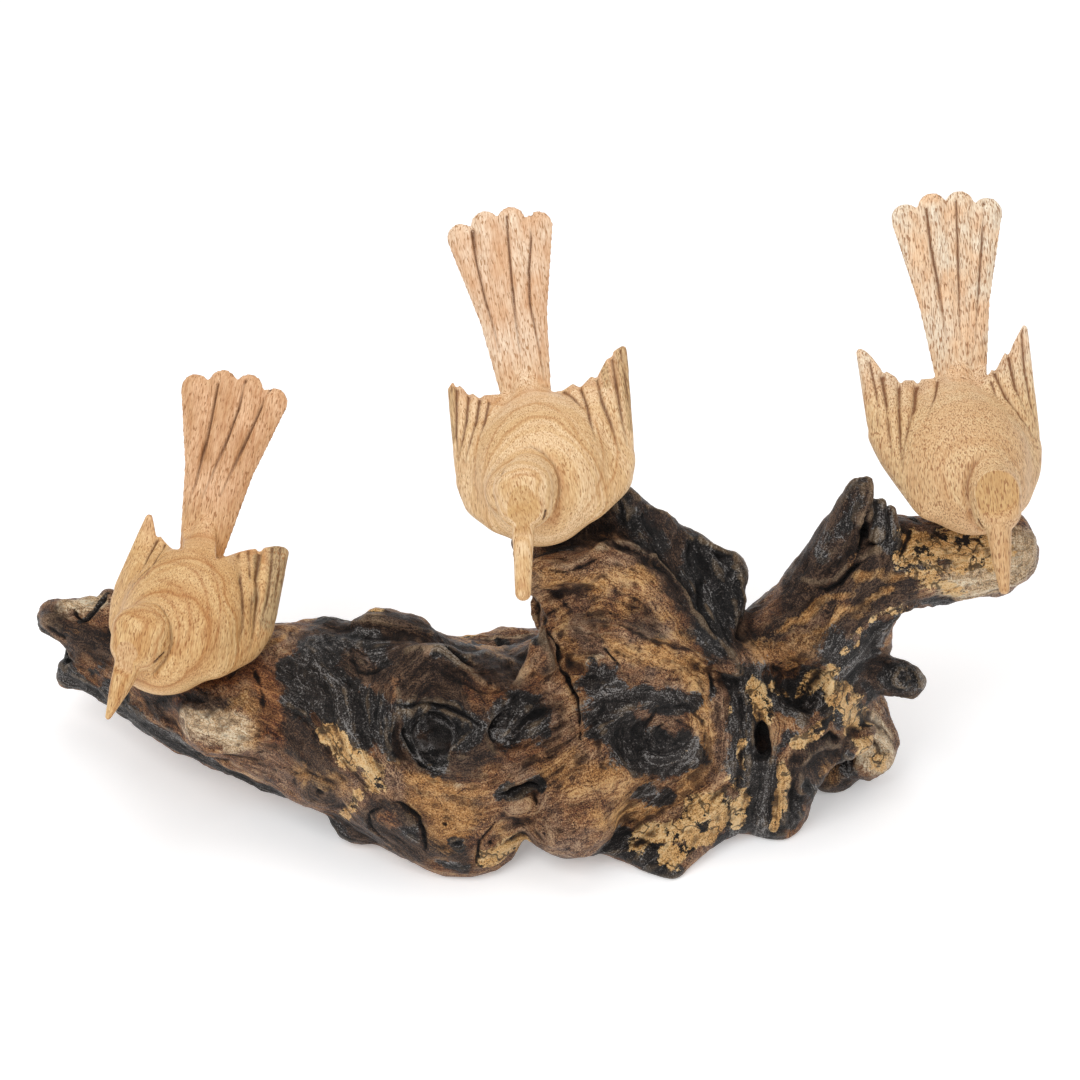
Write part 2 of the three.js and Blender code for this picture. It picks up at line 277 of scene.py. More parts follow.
# Birds, in the light wood that carvers set on such roots. Each is shaped in its own frame: it looks
# towards -Y, and its origin is the middle of its body. Pixel lines are the grooves the knife left,
# from the feather's tip forwards, and the rings are growth layers that show where they reach the skin;
# the right bird's one ring line is painted shade along the crease beside its head.
tailRise = 50
tailRoot = Vector((0, 31, 12))
shift = Vector((4.6, -91.5, 0))
birds = {
    "bird_left": {
        "place": (-144.3, 69, 89),
        "turn": -16,
        "roll": 0,
        "head": (-9, -31.5, 10),
        "headWidth": 13,
        "napeSide": [],
        "beak": (-14, -58, -12),
        "beakRadii": (6.0, 4.2, 1.3),
        "breast": (-5, -17, -6),
        "tips": ((27, 28, 22), (32, 31, 17)),
        "edges": ((33, 4, -4), (32, 4, -4)),
        "tail": {"x": -5, "lean": 2, "length": 74, "spread": 23.5},
        "seat": (-142, 66, 68.5, 20),
        "slot": "golden_bird_wood",
        # The ragged rear edge of each wing, and how high above it the sky is cleared.
        "rears": [
            [(142, 508), (149, 514), (152, 515), (154, 524), (156.5, 538), (160.5, 536), (165, 542), (172, 549), (183, 550)],
            [(216, 560), (222, 558), (237, 552.5), (246, 550), (256, 548.5), (260, 553), (264, 547.5), (277, 545.5), (285, 547), (288, 550), (292, 556)],
        ],
        "ceiling": 40,
        "facet": ((128, 646), (-0.35, -0.85, 0.4), 0.5, 11),
        "grooves": [  # line, width and depth in millimetres, step down on the one side
            ([(217, 384), (211, 415), (204, 448), (196, 482), (185, 513)], 0.8, 1.3, 0.5),
            ([(245, 380), (238, 408), (227, 437), (214, 470), (202, 498)], 0.8, 1.3, 0.5),
            ([(270, 388), (258, 412), (244, 443), (231, 472), (220, 496)], 0.8, 1.3, 0.5),
            ([(259, 551), (256, 578), (258, 602), (255, 626), (249, 650)], 1.3, 1.6, 0.8),
            ([(238, 553), (241, 580), (244, 604), (243, 628), (236, 654)], 1.0, 0.8, -0.7),
            ([(248, 551), (250, 575), (252, 604), (249, 630)], 0.8, 0.5, -0.3),
            ([(272, 547), (271, 570), (268, 600), (258, 636)], 0.8, 0.7, 0.3),
            ([(280, 548), (279, 575), (274, 602)], 0.8, 0.4, 0.2),
            ([(157, 540), (148, 555), (138, 574), (128, 594)], 1.0, 1.0, -0.6),
            ([(165, 544), (155, 560), (144, 578)], 0.8, 0.6, -0.3),
        ],
        "creases": [
            ([(140, 607), (150, 602), (158, 603), (166, 611), (172, 628), (172, 644), (166, 660), (154, 673), (140, 686)], 1.1, 1.3),
            ([(176, 551), (160, 558), (146, 570), (132, 586), (122, 600)], 1.0, 0.5),
        ],
        "rings": [
            [(184, 550), (200, 554), (210, 566), (217, 584), (220, 606), (218, 630), (211, 652), (200, 670)],
            [(150, 573), (175, 562), (196, 572), (205, 590), (208, 612), (205, 636), (196, 660)],
            [(140, 590), (160, 580), (180, 588), (188, 604), (190, 626), (184, 648), (172, 668)],
            [(146, 599), (162, 596), (173, 606), (179, 624), (178, 645), (170, 662)],
            [(128, 618), (142, 610), (156, 614), (162, 626)],
        ],
        "eye": [(155, 662), (160, 657), (164, 653)],
        "farEyeDrop": (0, 0, 0),
        "weathered": [([(278, 548), (278, 580), (268, 620)], 13), ([(257, 556), (256, 600)], 5)],
    },
    "bird_middle": {
        "place": (1, 80, 156.5),
        "turn": 0,
        "roll": -11,
        "head": (-5, -34, 13.5),
        "headWidth": 12.5,
        "napeSide": [((-12, -24, 9), 10)],
        "beak": (-10, -63, -12),
        "beakRadii": (4.6, 3.8, 3.2),
        "breast": (-1, -15, -3),
        "tips": ((33, 31, 24), (38, 36, 25)),
        "edges": ((33, 4, -4), (34, 4, -4)),
        "tail": {"x": -4, "lean": -1, "length": 80, "spread": 21.8},
        "seat": (2, 74, 136, 15),
        "slot": "bird_wood",
        "rears": [
            [(444, 386), (449, 388), (453, 380), (457, 391), (459.5, 385), (464, 389), (469, 396), (473, 393), (480, 399), (484, 395), (503, 394)],
            [(550, 391), (562, 391), (573, 383.5), (580, 388), (591, 376), (596, 379), (606.5, 358.5), (611, 357), (614, 350), (622, 343), (627, 345), (632, 356)],
        ],
        "ceiling": 44,
        "facet": ((518, 507), (-0.05, -0.9, 0.43), 1.6, 12),
        "grooves": [
            ([(472, 231), (477, 262), (485, 300), (494, 330), (500, 352)], 0.8, 1.3, 0.5),
            ([(506, 216), (508, 250), (511, 285), (516, 325), (520, 352)], 0.8, 1.3, 0.5),
            ([(531, 214), (530, 240), (528, 270), (529, 303), (535, 330), (540, 352), (544, 380)], 0.7, 1.1, 0.5),
            ([(457, 390), (456, 415), (455, 436), (459, 460)], 0.9, 1.1, 0.5),
            ([(469, 396), (466, 420), (461, 445), (458, 460)], 0.9, 1.1, 0.5),
            ([(480, 399), (476, 420), (469, 444), (466, 462)], 0.9, 1.0, 0.5),
            ([(489, 402), (484, 422), (479, 440)], 0.8, 0.8, 0.4),
            ([(611, 357), (616, 385), (622, 415), (627, 445)], 1.0, 1.5, -0.6),
            ([(596, 378), (602, 400), (612, 424), (619, 450)], 1.0, 1.3, -0.7),
            ([(580, 388), (587, 405), (592, 424), (595, 440)], 0.9, 1.0, -0.5),
            ([(563, 391), (574, 398), (584, 410)], 0.9, 0.7, -0.4),
            ([(620, 350), (626, 380), (633, 412)], 0.7, 0.6, -0.2),
        ],
        "creases": [
            ([(512, 452), (520, 447), (532, 446), (544, 452), (555, 464), (560, 478), (561, 492), (556, 508), (550, 524)], 1.1, 1.2),
            ([(494, 492), (502, 473), (512, 455)], 1.0, 0.5),
        ],
        "rings": [
            [(486, 490), (485, 465), (489, 447), (497, 430), (514, 411), (536, 403), (556, 409), (574, 429), (583, 452), (586, 480)],
            [(487, 514), (477, 490), (475, 465), (478, 440), (487, 415), (500, 398), (520, 388), (545, 390)],
            [(560, 394), (580, 404), (596, 424), (603, 452), (600, 480), (588, 505), (566, 526)],
            [(596, 405), (611, 425), (618, 452), (614, 476), (600, 496)],
            [(506, 482), (520, 475), (534, 476), (543, 486)],
        ],
        "eye": [(544, 519), (546, 511)],
        "farEyeDrop": (-4, 3, -5),
        "weathered": [
            ([(622, 352), (627, 385), (633, 425)], 9),
            ([(604, 366), (607, 385)], 5),
            ([(452, 390), (453, 440)], 5),
        ],
    },
    "bird_right": {
        "place": (172, 101, 145),
        "turn": 8,
        "roll": 0,
        "head": (4.5, -37, 6),
        "headWidth": 11.2,
        "napeSide": [((-8, 31, 13), 7)],
        "beak": (3, -64.5, -18),
        "beakRadii": (5.2, 4.0, 2.2),
        "breast": (2, -16, -3),
        "tips": ((34.5, 42.5, 25.5), (33, 38, 34)),
        "edges": ((33, 13, 5), (32, 6, -2)),
        "tail": {"x": 7, "lean": 0, "length": 83, "spread": 23.5},
        "seat": (173, 95, 124, 16),
        "slot": "flecked_bird_wood",
        "rears": [
            [(852, 352), (857, 345), (861, 346), (872, 357), (881, 369), (883.5, 376), (886, 371), (896, 377), (900.5, 385), (904, 380), (914, 380), (918, 386), (921, 379), (944, 378)],
            [(986, 380), (992, 369), (995, 372), (1005, 352), (1008, 357), (1013, 344), (1025, 321), (1028, 324), (1034, 340)],
        ],
        "ceiling": 44,
        "facet": ((993, 479), (0.02, -0.74, 0.67), 3.0, 15),
        "grooves": [
            ([(926, 209), (930, 245), (937, 280), (943, 315), (947, 340)], 0.8, 1.3, 0.5),
            ([(956, 201), (958, 250), (959, 300), (960, 340)], 0.8, 1.3, 0.5),
            ([(984, 202), (982, 245), (979, 290), (975, 340)], 0.8, 1.3, 0.5),
            ([(883, 376), (886, 402), (888, 432), (892, 452)], 1.1, 1.4, -0.8),
            ([(900, 386), (899, 412), (899, 442), (903, 466)], 1.1, 1.4, -0.8),
            ([(917, 386), (914, 408), (906, 434), (903, 462)], 1.1, 1.3, -0.8),
            ([(938, 380), (934, 397), (928, 418)], 0.9, 1.0, -0.5),
            ([(870, 362), (876, 392), (880, 425)], 0.7, 0.6, -0.2),
            ([(993, 372), (1006, 396), (1022, 418), (1034, 438)], 1.1, 1.4, 0.7),
            ([(1008, 358), (1015, 386), (1026, 412)], 0.9, 1.0, 0.5),
            ([(1021, 330), (1024, 366), (1031, 402), (1037, 430)], 0.9, 1.0, 0.4),
            ([(991, 382), (998, 400)], 0.8, 0.6, 0.3),
        ],
        "creases": [
            ([(1006, 462), (994, 454), (980, 456), (970, 468), (965, 482), (965, 498), (970, 516), (981, 532), (990, 541)], 1.2, 2.4),
        ],
        # painted reddish shade along the crease beside the head, drawn as a ring line
        "rings": [[(985, 456), (974, 462), (966, 482), (966, 498), (971, 516), (982, 532)]],
        "eye": [(978, 520), (982, 527)],
        "farEyeDrop": (0, 0, 0),
        "weathered": [],
    },
}


def birdFrame(bird):
    turned = Euler((0, math.radians(bird["roll"]), math.radians(bird["turn"])))
    return Matrix.LocRotScale(Vector(bird["place"]) + shift, turned, Vector((1, 1, 1)))


def addWing(body, side, tip, edge):  # a curved board from the shoulder to the rear edge
    rows = []
    for k in range(6):
        share = k / 5
        swell = math.sin(math.pi * share)
        shoulder = Vector((edge[0] - 8.5, edge[1] - 16, edge[2] - 4)).lerp(Vector((16, -6, 9)), share)
        bend = Vector((edge[0], edge[1] + 3, edge[2] + 3)).lerp(Vector((16, 14, 13.5)), share)
        bend += Vector((2.0, 0, 2.6)) * swell
        end = Vector(tip).lerp(Vector((11, 31, 14)), share)
        rows.append([Vector((side * p.x, p.y, p.z)) for p in (shoulder, bend, end)])
    for before, after in zip(rows[:-1], rows[1:]):
        for k in (0, 1):
            radii = ((3.2, 3.4), (3.4, 1.9))[k]
            corners = [(row[k + j], radii[j]) for row in (before, after) for j in (0, 1)]
            addHull(body, corners)


def carveBird(bird):
    head = Vector(bird["head"])
    beak = Vector(bird["beak"])
    tail = bird["tail"]
    place = birdFrame(bird)
    # Body, shoulders, rump and neck are fused coarsely and sanded until they run into each other.
    body = bmesh.new()
    addHull(body, [((0, 0, 0), (28, 36, 23), (10, 0, 0))])
    addHull(body, [(bird["breast"], (22, 21, 20))])
    addHull(body, [(bird["breast"], 17), ((0, 4, 0), 19)])
    addHull(body, [((0, 12, 3), 19), ((0.7 * tail["x"], 29, 9.5), 9)])
    addHull(body, [((0.7 * tail["x"], 29, 9.5), 9), ((tail["x"], 37, 18), 5.5)])
    addHull(body, [((0.4 * head.x, -14, 3), 16), ((0.9 * head.x, head.y + 5, head.z - 1), 11)])
    for centre, radius in bird["napeSide"]:
        addHull(body, [(centre, radius), ((0, -4, 0), 18)])
    shoulders = [((0, -2, -2), 22), ((0, 22, 8), 9)]
    for side, edge in zip((-1, 1), bird["edges"]):
        shoulders += [
            ((side * (edge[0] - 3.5), edge[1] - 11, edge[2] - 4.5), 5),
            ((side * (edge[0] - 0.5), edge[1], edge[2]), 5),
            ((side * 24, 18, 9), 5),
            ((side * 18, -21, -7), 6.5),
        ]
    addHull(body, shoulders)
    blank = fused(body, 1.6, 26)
    # The wings are boards on it, cut along their ragged rear edges.
    body = bmesh.new()
    body.from_mesh(blank)
    bpy.data.meshes.remove(blank)
    for side, tip, edge in zip((-1, 1), bird["tips"], bird["edges"]):
        addWing(body, side, tip, edge)
    blank = fused(body, 0.8, 12)
    middle = place @ Vector((0, 28, 15))
    blank.transform(place)
    for rear in bird["rears"]:
        top = min(pixel[1] for pixel in rear) - bird["ceiling"]
        outline = [*rear, (rear[-1][0], top), (rear[0][0], top)]
        blank = cutAway(blank, seenBlock(outline, middle, 45))
    blank.transform(place.inverted())
    # Head, beak and tail stay crisp.
    body = bmesh.new()
    body.from_mesh(blank)
    bpy.data.meshes.remove(blank)
    wide = bird["headWidth"]
    addHull(body, [
        ((0.55 * head.x, head.y + 11, head.z + 0.5), (0.75 * wide, 9.5, 9.5)),
        ((0.95 * head.x, head.y + 3, head.z + 2), (wide * 0.96, 10.5, 10.5)),
        ((head.x, head.y - 2, head.z - 3), (wide * 0.88, 9.5, 9.5)),
    ])
    stations = [head.lerp(beak, share) for share in (0.28, 0.6, 0.97)]
    addLimb(body, *[(*point, radius) for point, radius in zip(stations, bird["beakRadii"])])
    upTail = Euler((math.radians(tailRise), 0, 0)).to_matrix()
    for f in (-1, -1 / 3, 1 / 3, 1):
        end = tail["length"] - 0.35 * tail["spread"] - 4 * f * f
        across = tail["x"] + math.tan(math.radians(tail["lean"])) * end + 0.73 * tail["spread"] * f
        lift = 0.35 * (1 - abs(f))
        width = 0.27 * tail["spread"]
        middle = tail["x"] + 0.56 * (across - tail["x"])
        flat = (tailRise, 0, 0)
        stations = [(tail["x"] + 4.6 * f, -8, 4.5), (middle, 0.5 * end, 0.86 * width), (across, end, width)]
        for before, after in zip(stations[:-1], stations[1:]):
            part = []
            for x, y, half in (before, after):
                at = tailRoot + upTail @ Vector((x, y, lift))
                part += [(at, (half + 0.3, half + 0.3, 1.1), flat), (at, (half * 0.78, half * 0.78, 2.3), flat)]
            addHull(body, part)
    mesh = fused(body, 0.62, 5)
    mesh.transform(place)
    return mesh


birdFields = ("crease", "ring", "facet", "weathered")


def cutBird(bird, mesh):  # the knife's lines, the levelled seat, and the fields that the finish reads
    points = coordsOf(mesh)
    tree = treeOf(mesh)
    field = {name: np.zeros(len(points)) for name in birdFields}
    # The forehead is one flat cut of the knife.
    pixel, facing, deep, reach = bird["facet"]
    middle = onSurface(tree, pixel)
    facing = np.array(facing) / np.linalg.norm(facing)
    over = (points - middle) @ facing + deep
    fade = 1 - smoothStep(0.8, 1.2, np.linalg.norm(points - middle, axis=1) / reach)
    points = points - np.outer(np.clip(over, 0, None) * fade, facing)
    # The facet's area is kept for the finish, which paints shade on it for the middle and right birds and light for
    # the left bird.
    field["facet"] = smoothStep(-0.1, 0.3, over) * fade
    moveTo(mesh, points)
    tree = treeOf(mesh)
    normals = normalsOf(mesh)
    depth = np.zeros(len(points))
    for pixels, width, deep, step in bird["grooves"]:
        gap, heading, along, aside = nearLine(points, traced(tree, pixels))
        fade = 1 - smoothStep(0.5, 1.0, along)
        right = (np.cross(normals, heading) * aside).sum(1)
        depth += deep * fade * np.exp(-((gap / width) ** 2))
        depth += abs(step) * fade * smoothStep(0, 0.5, np.sign(step) * right) * np.exp(-gap / 2.2)
        # painted shade: each groove is darkened along its line
        shade = (0.35 + 0.65 * fade) * np.exp(-((gap / (0.65 * width)) ** 2))
        field["crease"] = np.maximum(field["crease"], shade)
    for pixels, width, deep in bird["creases"]:
        gap, _, along, _ = nearLine(points, traced(tree, pixels))
        fade = smoothStep(0, 0.3, np.minimum(along, 1 - along))
        depth += deep * fade * np.exp(-((gap / width) ** 2))
        # painted shade along each crease
        field["crease"] = np.maximum(field["crease"], 0.55 * fade * np.exp(-((gap / 0.6) ** 2)))
    # The eye that the photo hides lies across the head from the one that it shows.
    place = birdFrame(bird)
    head = place @ Vector(bird["head"])
    across = (place @ Vector(bird["beak"]) - head).cross(Vector((0, 0, 1))).normalized()
    seen = [Vector(point) for point in traced(tree, bird["eye"])]
    drop = Vector(bird["farEyeDrop"])
    hidden = [tree.find_nearest(point - 2 * across * (point - head).dot(across) + drop)[0] for point in seen]
    for eye in (seen, hidden):
        gap = nearLine(points, np.array(eye))[0]
        depth += 0.6 * np.exp(-((gap / 0.7) ** 2))
        field["crease"] = np.maximum(field["crease"], 1.6 * np.exp(-((gap / 0.6) ** 2)))
    for pixels in bird["rings"]:
        gap, heading, along, aside = nearLine(points, traced(tree, pixels))
        right = (np.cross(normals, heading) * aside).sum(1)
        fade = smoothStep(0, 0.25, np.minimum(along, 1 - along))
        layer = np.exp(-((gap / 0.5) ** 2)) + 0.5 * smoothStep(0, 0.4, right) * np.exp(-gap / 2.0)
        field["ring"] = np.maximum(field["ring"], fade * layer)
    for pixels, width in bird["weathered"]:
        gap = nearLine(points, traced(tree, pixels))[0]
        worn = 1 - smoothStep(0.15 * width, 0.5 * width, gap)
        field["weathered"] = np.maximum(field["weathered"], worn)
    points = points - normals * depth[:, None]
    x, y, level, radius = bird["seat"]
    seat = np.hypot(points[:, 0] - x - shift.x, points[:, 1] - y - shift.y)
    points[:, 2] = np.where(seat < radius + 1.5, np.maximum(points[:, 2], level + 0.3), points[:, 2])
    moveTo(mesh, points)
    for name, values in field.items():
        paint(mesh, name, values)
    return mesh


# Fine-sanded light hardwood with a wax rub: open pores run up the tail as short brown flecks and
# show as dots on the back, and growth layers ring the rounded parts.
birdGrain = {
    # Noise in the wood: name, size across, up the tail and through in millimetres, octaves.
    "noises": [
        ("wander", (30, 30, 30), 2.0),
        ("cloud", (9, 14, 9), 1.0),
        ("fibre", (0.5, 10, 0.6), 2.0),
        ("grain", (0.45, 2.4, 0.5), 2.0),
        ("pores", (0.5, 2.8, 0.55), 0.5),
    ],
    # Coats: shown by, from, to, most, toned by, tones, way of mixing.
    "coats": [
        # painted sheen: the tail is painted lighter and pinker where the light shines on it
        ("tailSheen", 0.02, 0.05, 0.75, "cloud", "tailSheenTones", "MIX"),
        # painted shade on the forehead facet of the middle and right birds, painted light on the left bird's, for how
        # each faces the light
        ("facet", 0.2, 0.9, 0.75, "cloud", "facetShadingTones", "MIX"),
        ("ring", 0.0, 1.0, 0.75, "grain", "ringTones", "MIX"),
        ("fibre", -1.0, -0.5, 0.55, "fibre", "fibreTones", "MULTIPLY"),
        ("grain", -1.0, -0.5, 0.5, "grain", "grainTones", "MULTIPLY"),
        ("weathered", 0.1, 0.9, 0.9, "streak", "wornTones", "MIX"),
        ("flecks", 0.0, 1.0, 0.8, "cloud", "poreTones", "MIX"),
        # painted shade in the knife's grooves and the head's creases
        ("crease", 0.05, 0.8, 0.92, "grain", "creaseShadeTones", "MIX"),
        ("crease", 0.98, 1.0, 1.0, "grain", "eyeTones", "MIX"),
    ],
}


def birdWood(name, bird, look):
    material, tree = newMaterial(name)
    place = birdFrame(bird).to_translation() * mm
    spin = (math.radians(tailRise), math.radians(bird["roll"]), math.radians(bird["turn"]))
    settings = {"Vector": addNode(tree, "TexCoord").outputs["Object"], "Location": place, "Rotation": spin}
    local = addNode(tree, "Mapping", settings, vector_type="TEXTURE").outputs["Vector"]
    parts = addNode(tree, "SeparateXYZ", {"Vector": local}).outputs
    # how far towards the tail a point lies, which places the painted sheen on the tail
    values = {"tailSheen": parts["Y"]}
    for field in birdFields:
        values[field] = addNode(tree, "Attribute", attribute_name=field).outputs["Fac"]
    for noiseName, size, octaves in birdGrain["noises"]:
        settings = {"Vector": local, "Scale": [1000 / width for width in size]}
        drawn = addNode(tree, "Mapping", settings).outputs["Vector"]
        settings = {"Vector": drawn, "Scale": 1.0, "Detail": octaves}
        values[noiseName] = addNode(tree, "TexNoise", settings).outputs["Fac"]
    # Sums of products: name, one factor, the other, what is added.
    for sumName, one, other, more in (
        ("bent", values["wander"], 0.014, parts["Z"]),
        ("mixed", values["fibre"], 0.6, 0.0),
        ("streak", values["grain"], 0.4, "mixed"),
    ):
        settings = {0: one, 1: other, 2: values.get(more, more)}
        values[sumName] = addNode(tree, "Math", settings, operation="MULTIPLY_ADD").outputs["Value"]
    settings = {"W": values["bent"], "Scale": 1000 / look["layer"], "Detail": 3.0, "Roughness": 0.55}
    layers = addNode(tree, "TexNoise", settings, noise_dimensions="1D").outputs["Fac"]
    # Pores gather in drifts.
    settings = {"Value": values["cloud"], "From Min": 0.35, "From Max": 0.65}
    settings.update({"To Min": look["poreFrom"] + look["drift"], "To Max": look["poreFrom"]})
    gate = addNode(tree, "MapRange", settings).outputs["Result"]
    above = addNode(tree, "Math", {0: values["pores"], 1: gate}, operation="SUBTRACT").outputs["Value"]
    values["flecks"] = addNode(tree, "MapRange", {"Value": above, "From Max": 0.045}).outputs["Result"]
    colour = addNode(tree, "ValToRGB", {"Fac": layers}, stops=look["wood"]).outputs["Color"]
    for shown, low, high, most, toned, tones, way in birdGrain["coats"]:
        settings = {"Value": values[shown], "From Min": low, "From Max": high, "To Max": most}
        share = addNode(tree, "MapRange", settings).outputs["Result"]
        coat = addNode(tree, "ValToRGB", {"Fac": values[toned]}, stops=look[tones]).outputs["Color"]
        settings = {"Factor": share, 6: colour, 7: coat}
        colour = addNode(tree, "Mix", settings, data_type="RGBA", blend_type=way).outputs[2]
    settings = {0: values["flecks"], 1: -0.7, 2: values["streak"]}
    relief = addNode(tree, "Math", settings, operation="MULTIPLY_ADD").outputs["Value"]
    settings = {"Height": relief, "Strength": 0.5, "Distance": 0.0003}
    bump = addNode(tree, "Bump", settings).outputs["Normal"]
    settings = {"Base Color": colour, "Roughness": 0.48, "IOR": 1.5, "Normal": bump, "Specular IOR Level": 0.35}
    shader = addNode(tree, "BsdfPrincipled", settings)
    addNode(tree, "OutputMaterial", {"Surface": shader.outputs["BSDF"]})
    return material


birdLooks = {
    "bird_left": {
        "finish": "waxedGoldenWood",
        "layer": 5.2,
        "wood": [(0.3, "#c48f56"), (0.42, "#ddb278"), (0.58, "#ecc992"), (0.72, "#d4a56e")],
        "tailSheenTones": [(0.35, "#d7a67d"), (0.65, "#f7cda8")],
        "facetShadingTones": [(0.4, "#e4bf90"), (0.6, "#f0cfa4")],
        "ringTones": [(0.3, "#a9703c"), (0.6, "#c2884f")],
        "fibreTones": [(0.3, "#c79a6c"), (0.6, "#ffffff")],
        "grainTones": [(0.3, "#bf9468"), (0.55, "#ffffff")],
        "wornTones": [(0.36, "#7a5f3f"), (0.56, "#c2a57a")],
        "poreTones": [(0.0, "#8e5a2e"), (1.0, "#a56d3a")],
        "creaseShadeTones": [(0.3, "#54300f"), (0.7, "#774a24")],
        "eyeTones": [(0.3, "#2a1c14"), (0.7, "#3a2a20")],
        "poreFrom": 0.61,
        "drift": 0.06,
    },
    "bird_middle": {
        "finish": "waxedPaleWood",
        "layer": 6.0,
        "wood": [(0.3, "#d0a06c"), (0.42, "#e9c591"), (0.6, "#f7daaf"), (0.74, "#e5be89")],
        "tailSheenTones": [(0.35, "#e9bd99"), (0.65, "#ffe9d2")],
        "facetShadingTones": [(0.4, "#d3a86c"), (0.6, "#ddb57c")],
        "ringTones": [(0.3, "#c08850"), (0.6, "#d19d63")],
        "fibreTones": [(0.3, "#cda57c"), (0.6, "#ffffff")],
        "grainTones": [(0.3, "#c9a27a"), (0.55, "#ffffff")],
        "wornTones": [(0.36, "#85623c"), (0.56, "#d3b081")],
        "poreTones": [(0.0, "#9c683a"), (1.0, "#b07c48")],
        "creaseShadeTones": [(0.3, "#5c3618"), (0.7, "#80522c")],
        "eyeTones": [(0.3, "#2a1c14"), (0.7, "#3a2a20")],
        "poreFrom": 0.60,
        "drift": 0.06,
    },
    "bird_right": {
        "finish": "waxedFleckedWood",
        "layer": 8.5,
        "wood": [(0.3, "#dcb483"), (0.45, "#e6c293"), (0.6, "#ecce9f"), (0.75, "#e1ba88")],
        "tailSheenTones": [(0.35, "#ffdcb8"), (0.65, "#fff7e4")],
        "facetShadingTones": [(0.4, "#cda266"), (0.6, "#d5ad72")],
        # on this bird the ring tones colour only the painted shade along its head crease
        "ringTones": [(0.3, "#a8623e"), (0.6, "#c38258")],
        "fibreTones": [(0.3, "#cda57c"), (0.6, "#ffffff")],
        "grainTones": [(0.3, "#c49a70"), (0.55, "#ffffff")],
        "wornTones": [(0.36, "#7c6244"), (0.56, "#c9a87a")],
        "poreTones": [(0.0, "#8f5c36"), (1.0, "#a27046")],
        "creaseShadeTones": [(0.3, "#643a1c"), (0.7, "#86552c")],
        "eyeTones": [(0.3, "#2a1c14"), (0.7, "#3a2a20")],
        "poreFrom": 0.575,
        "drift": 0.03,
    },
}

for name, bird in birds.items():
    look = birdLooks[name]
    mesh = cutBird(bird, carveBird(bird))
    piece = finishPiece(mesh, name + "_carved", name, birdWood(look["finish"], bird, look))
    print(name, "carved with", len(mesh.polygons), "faces")
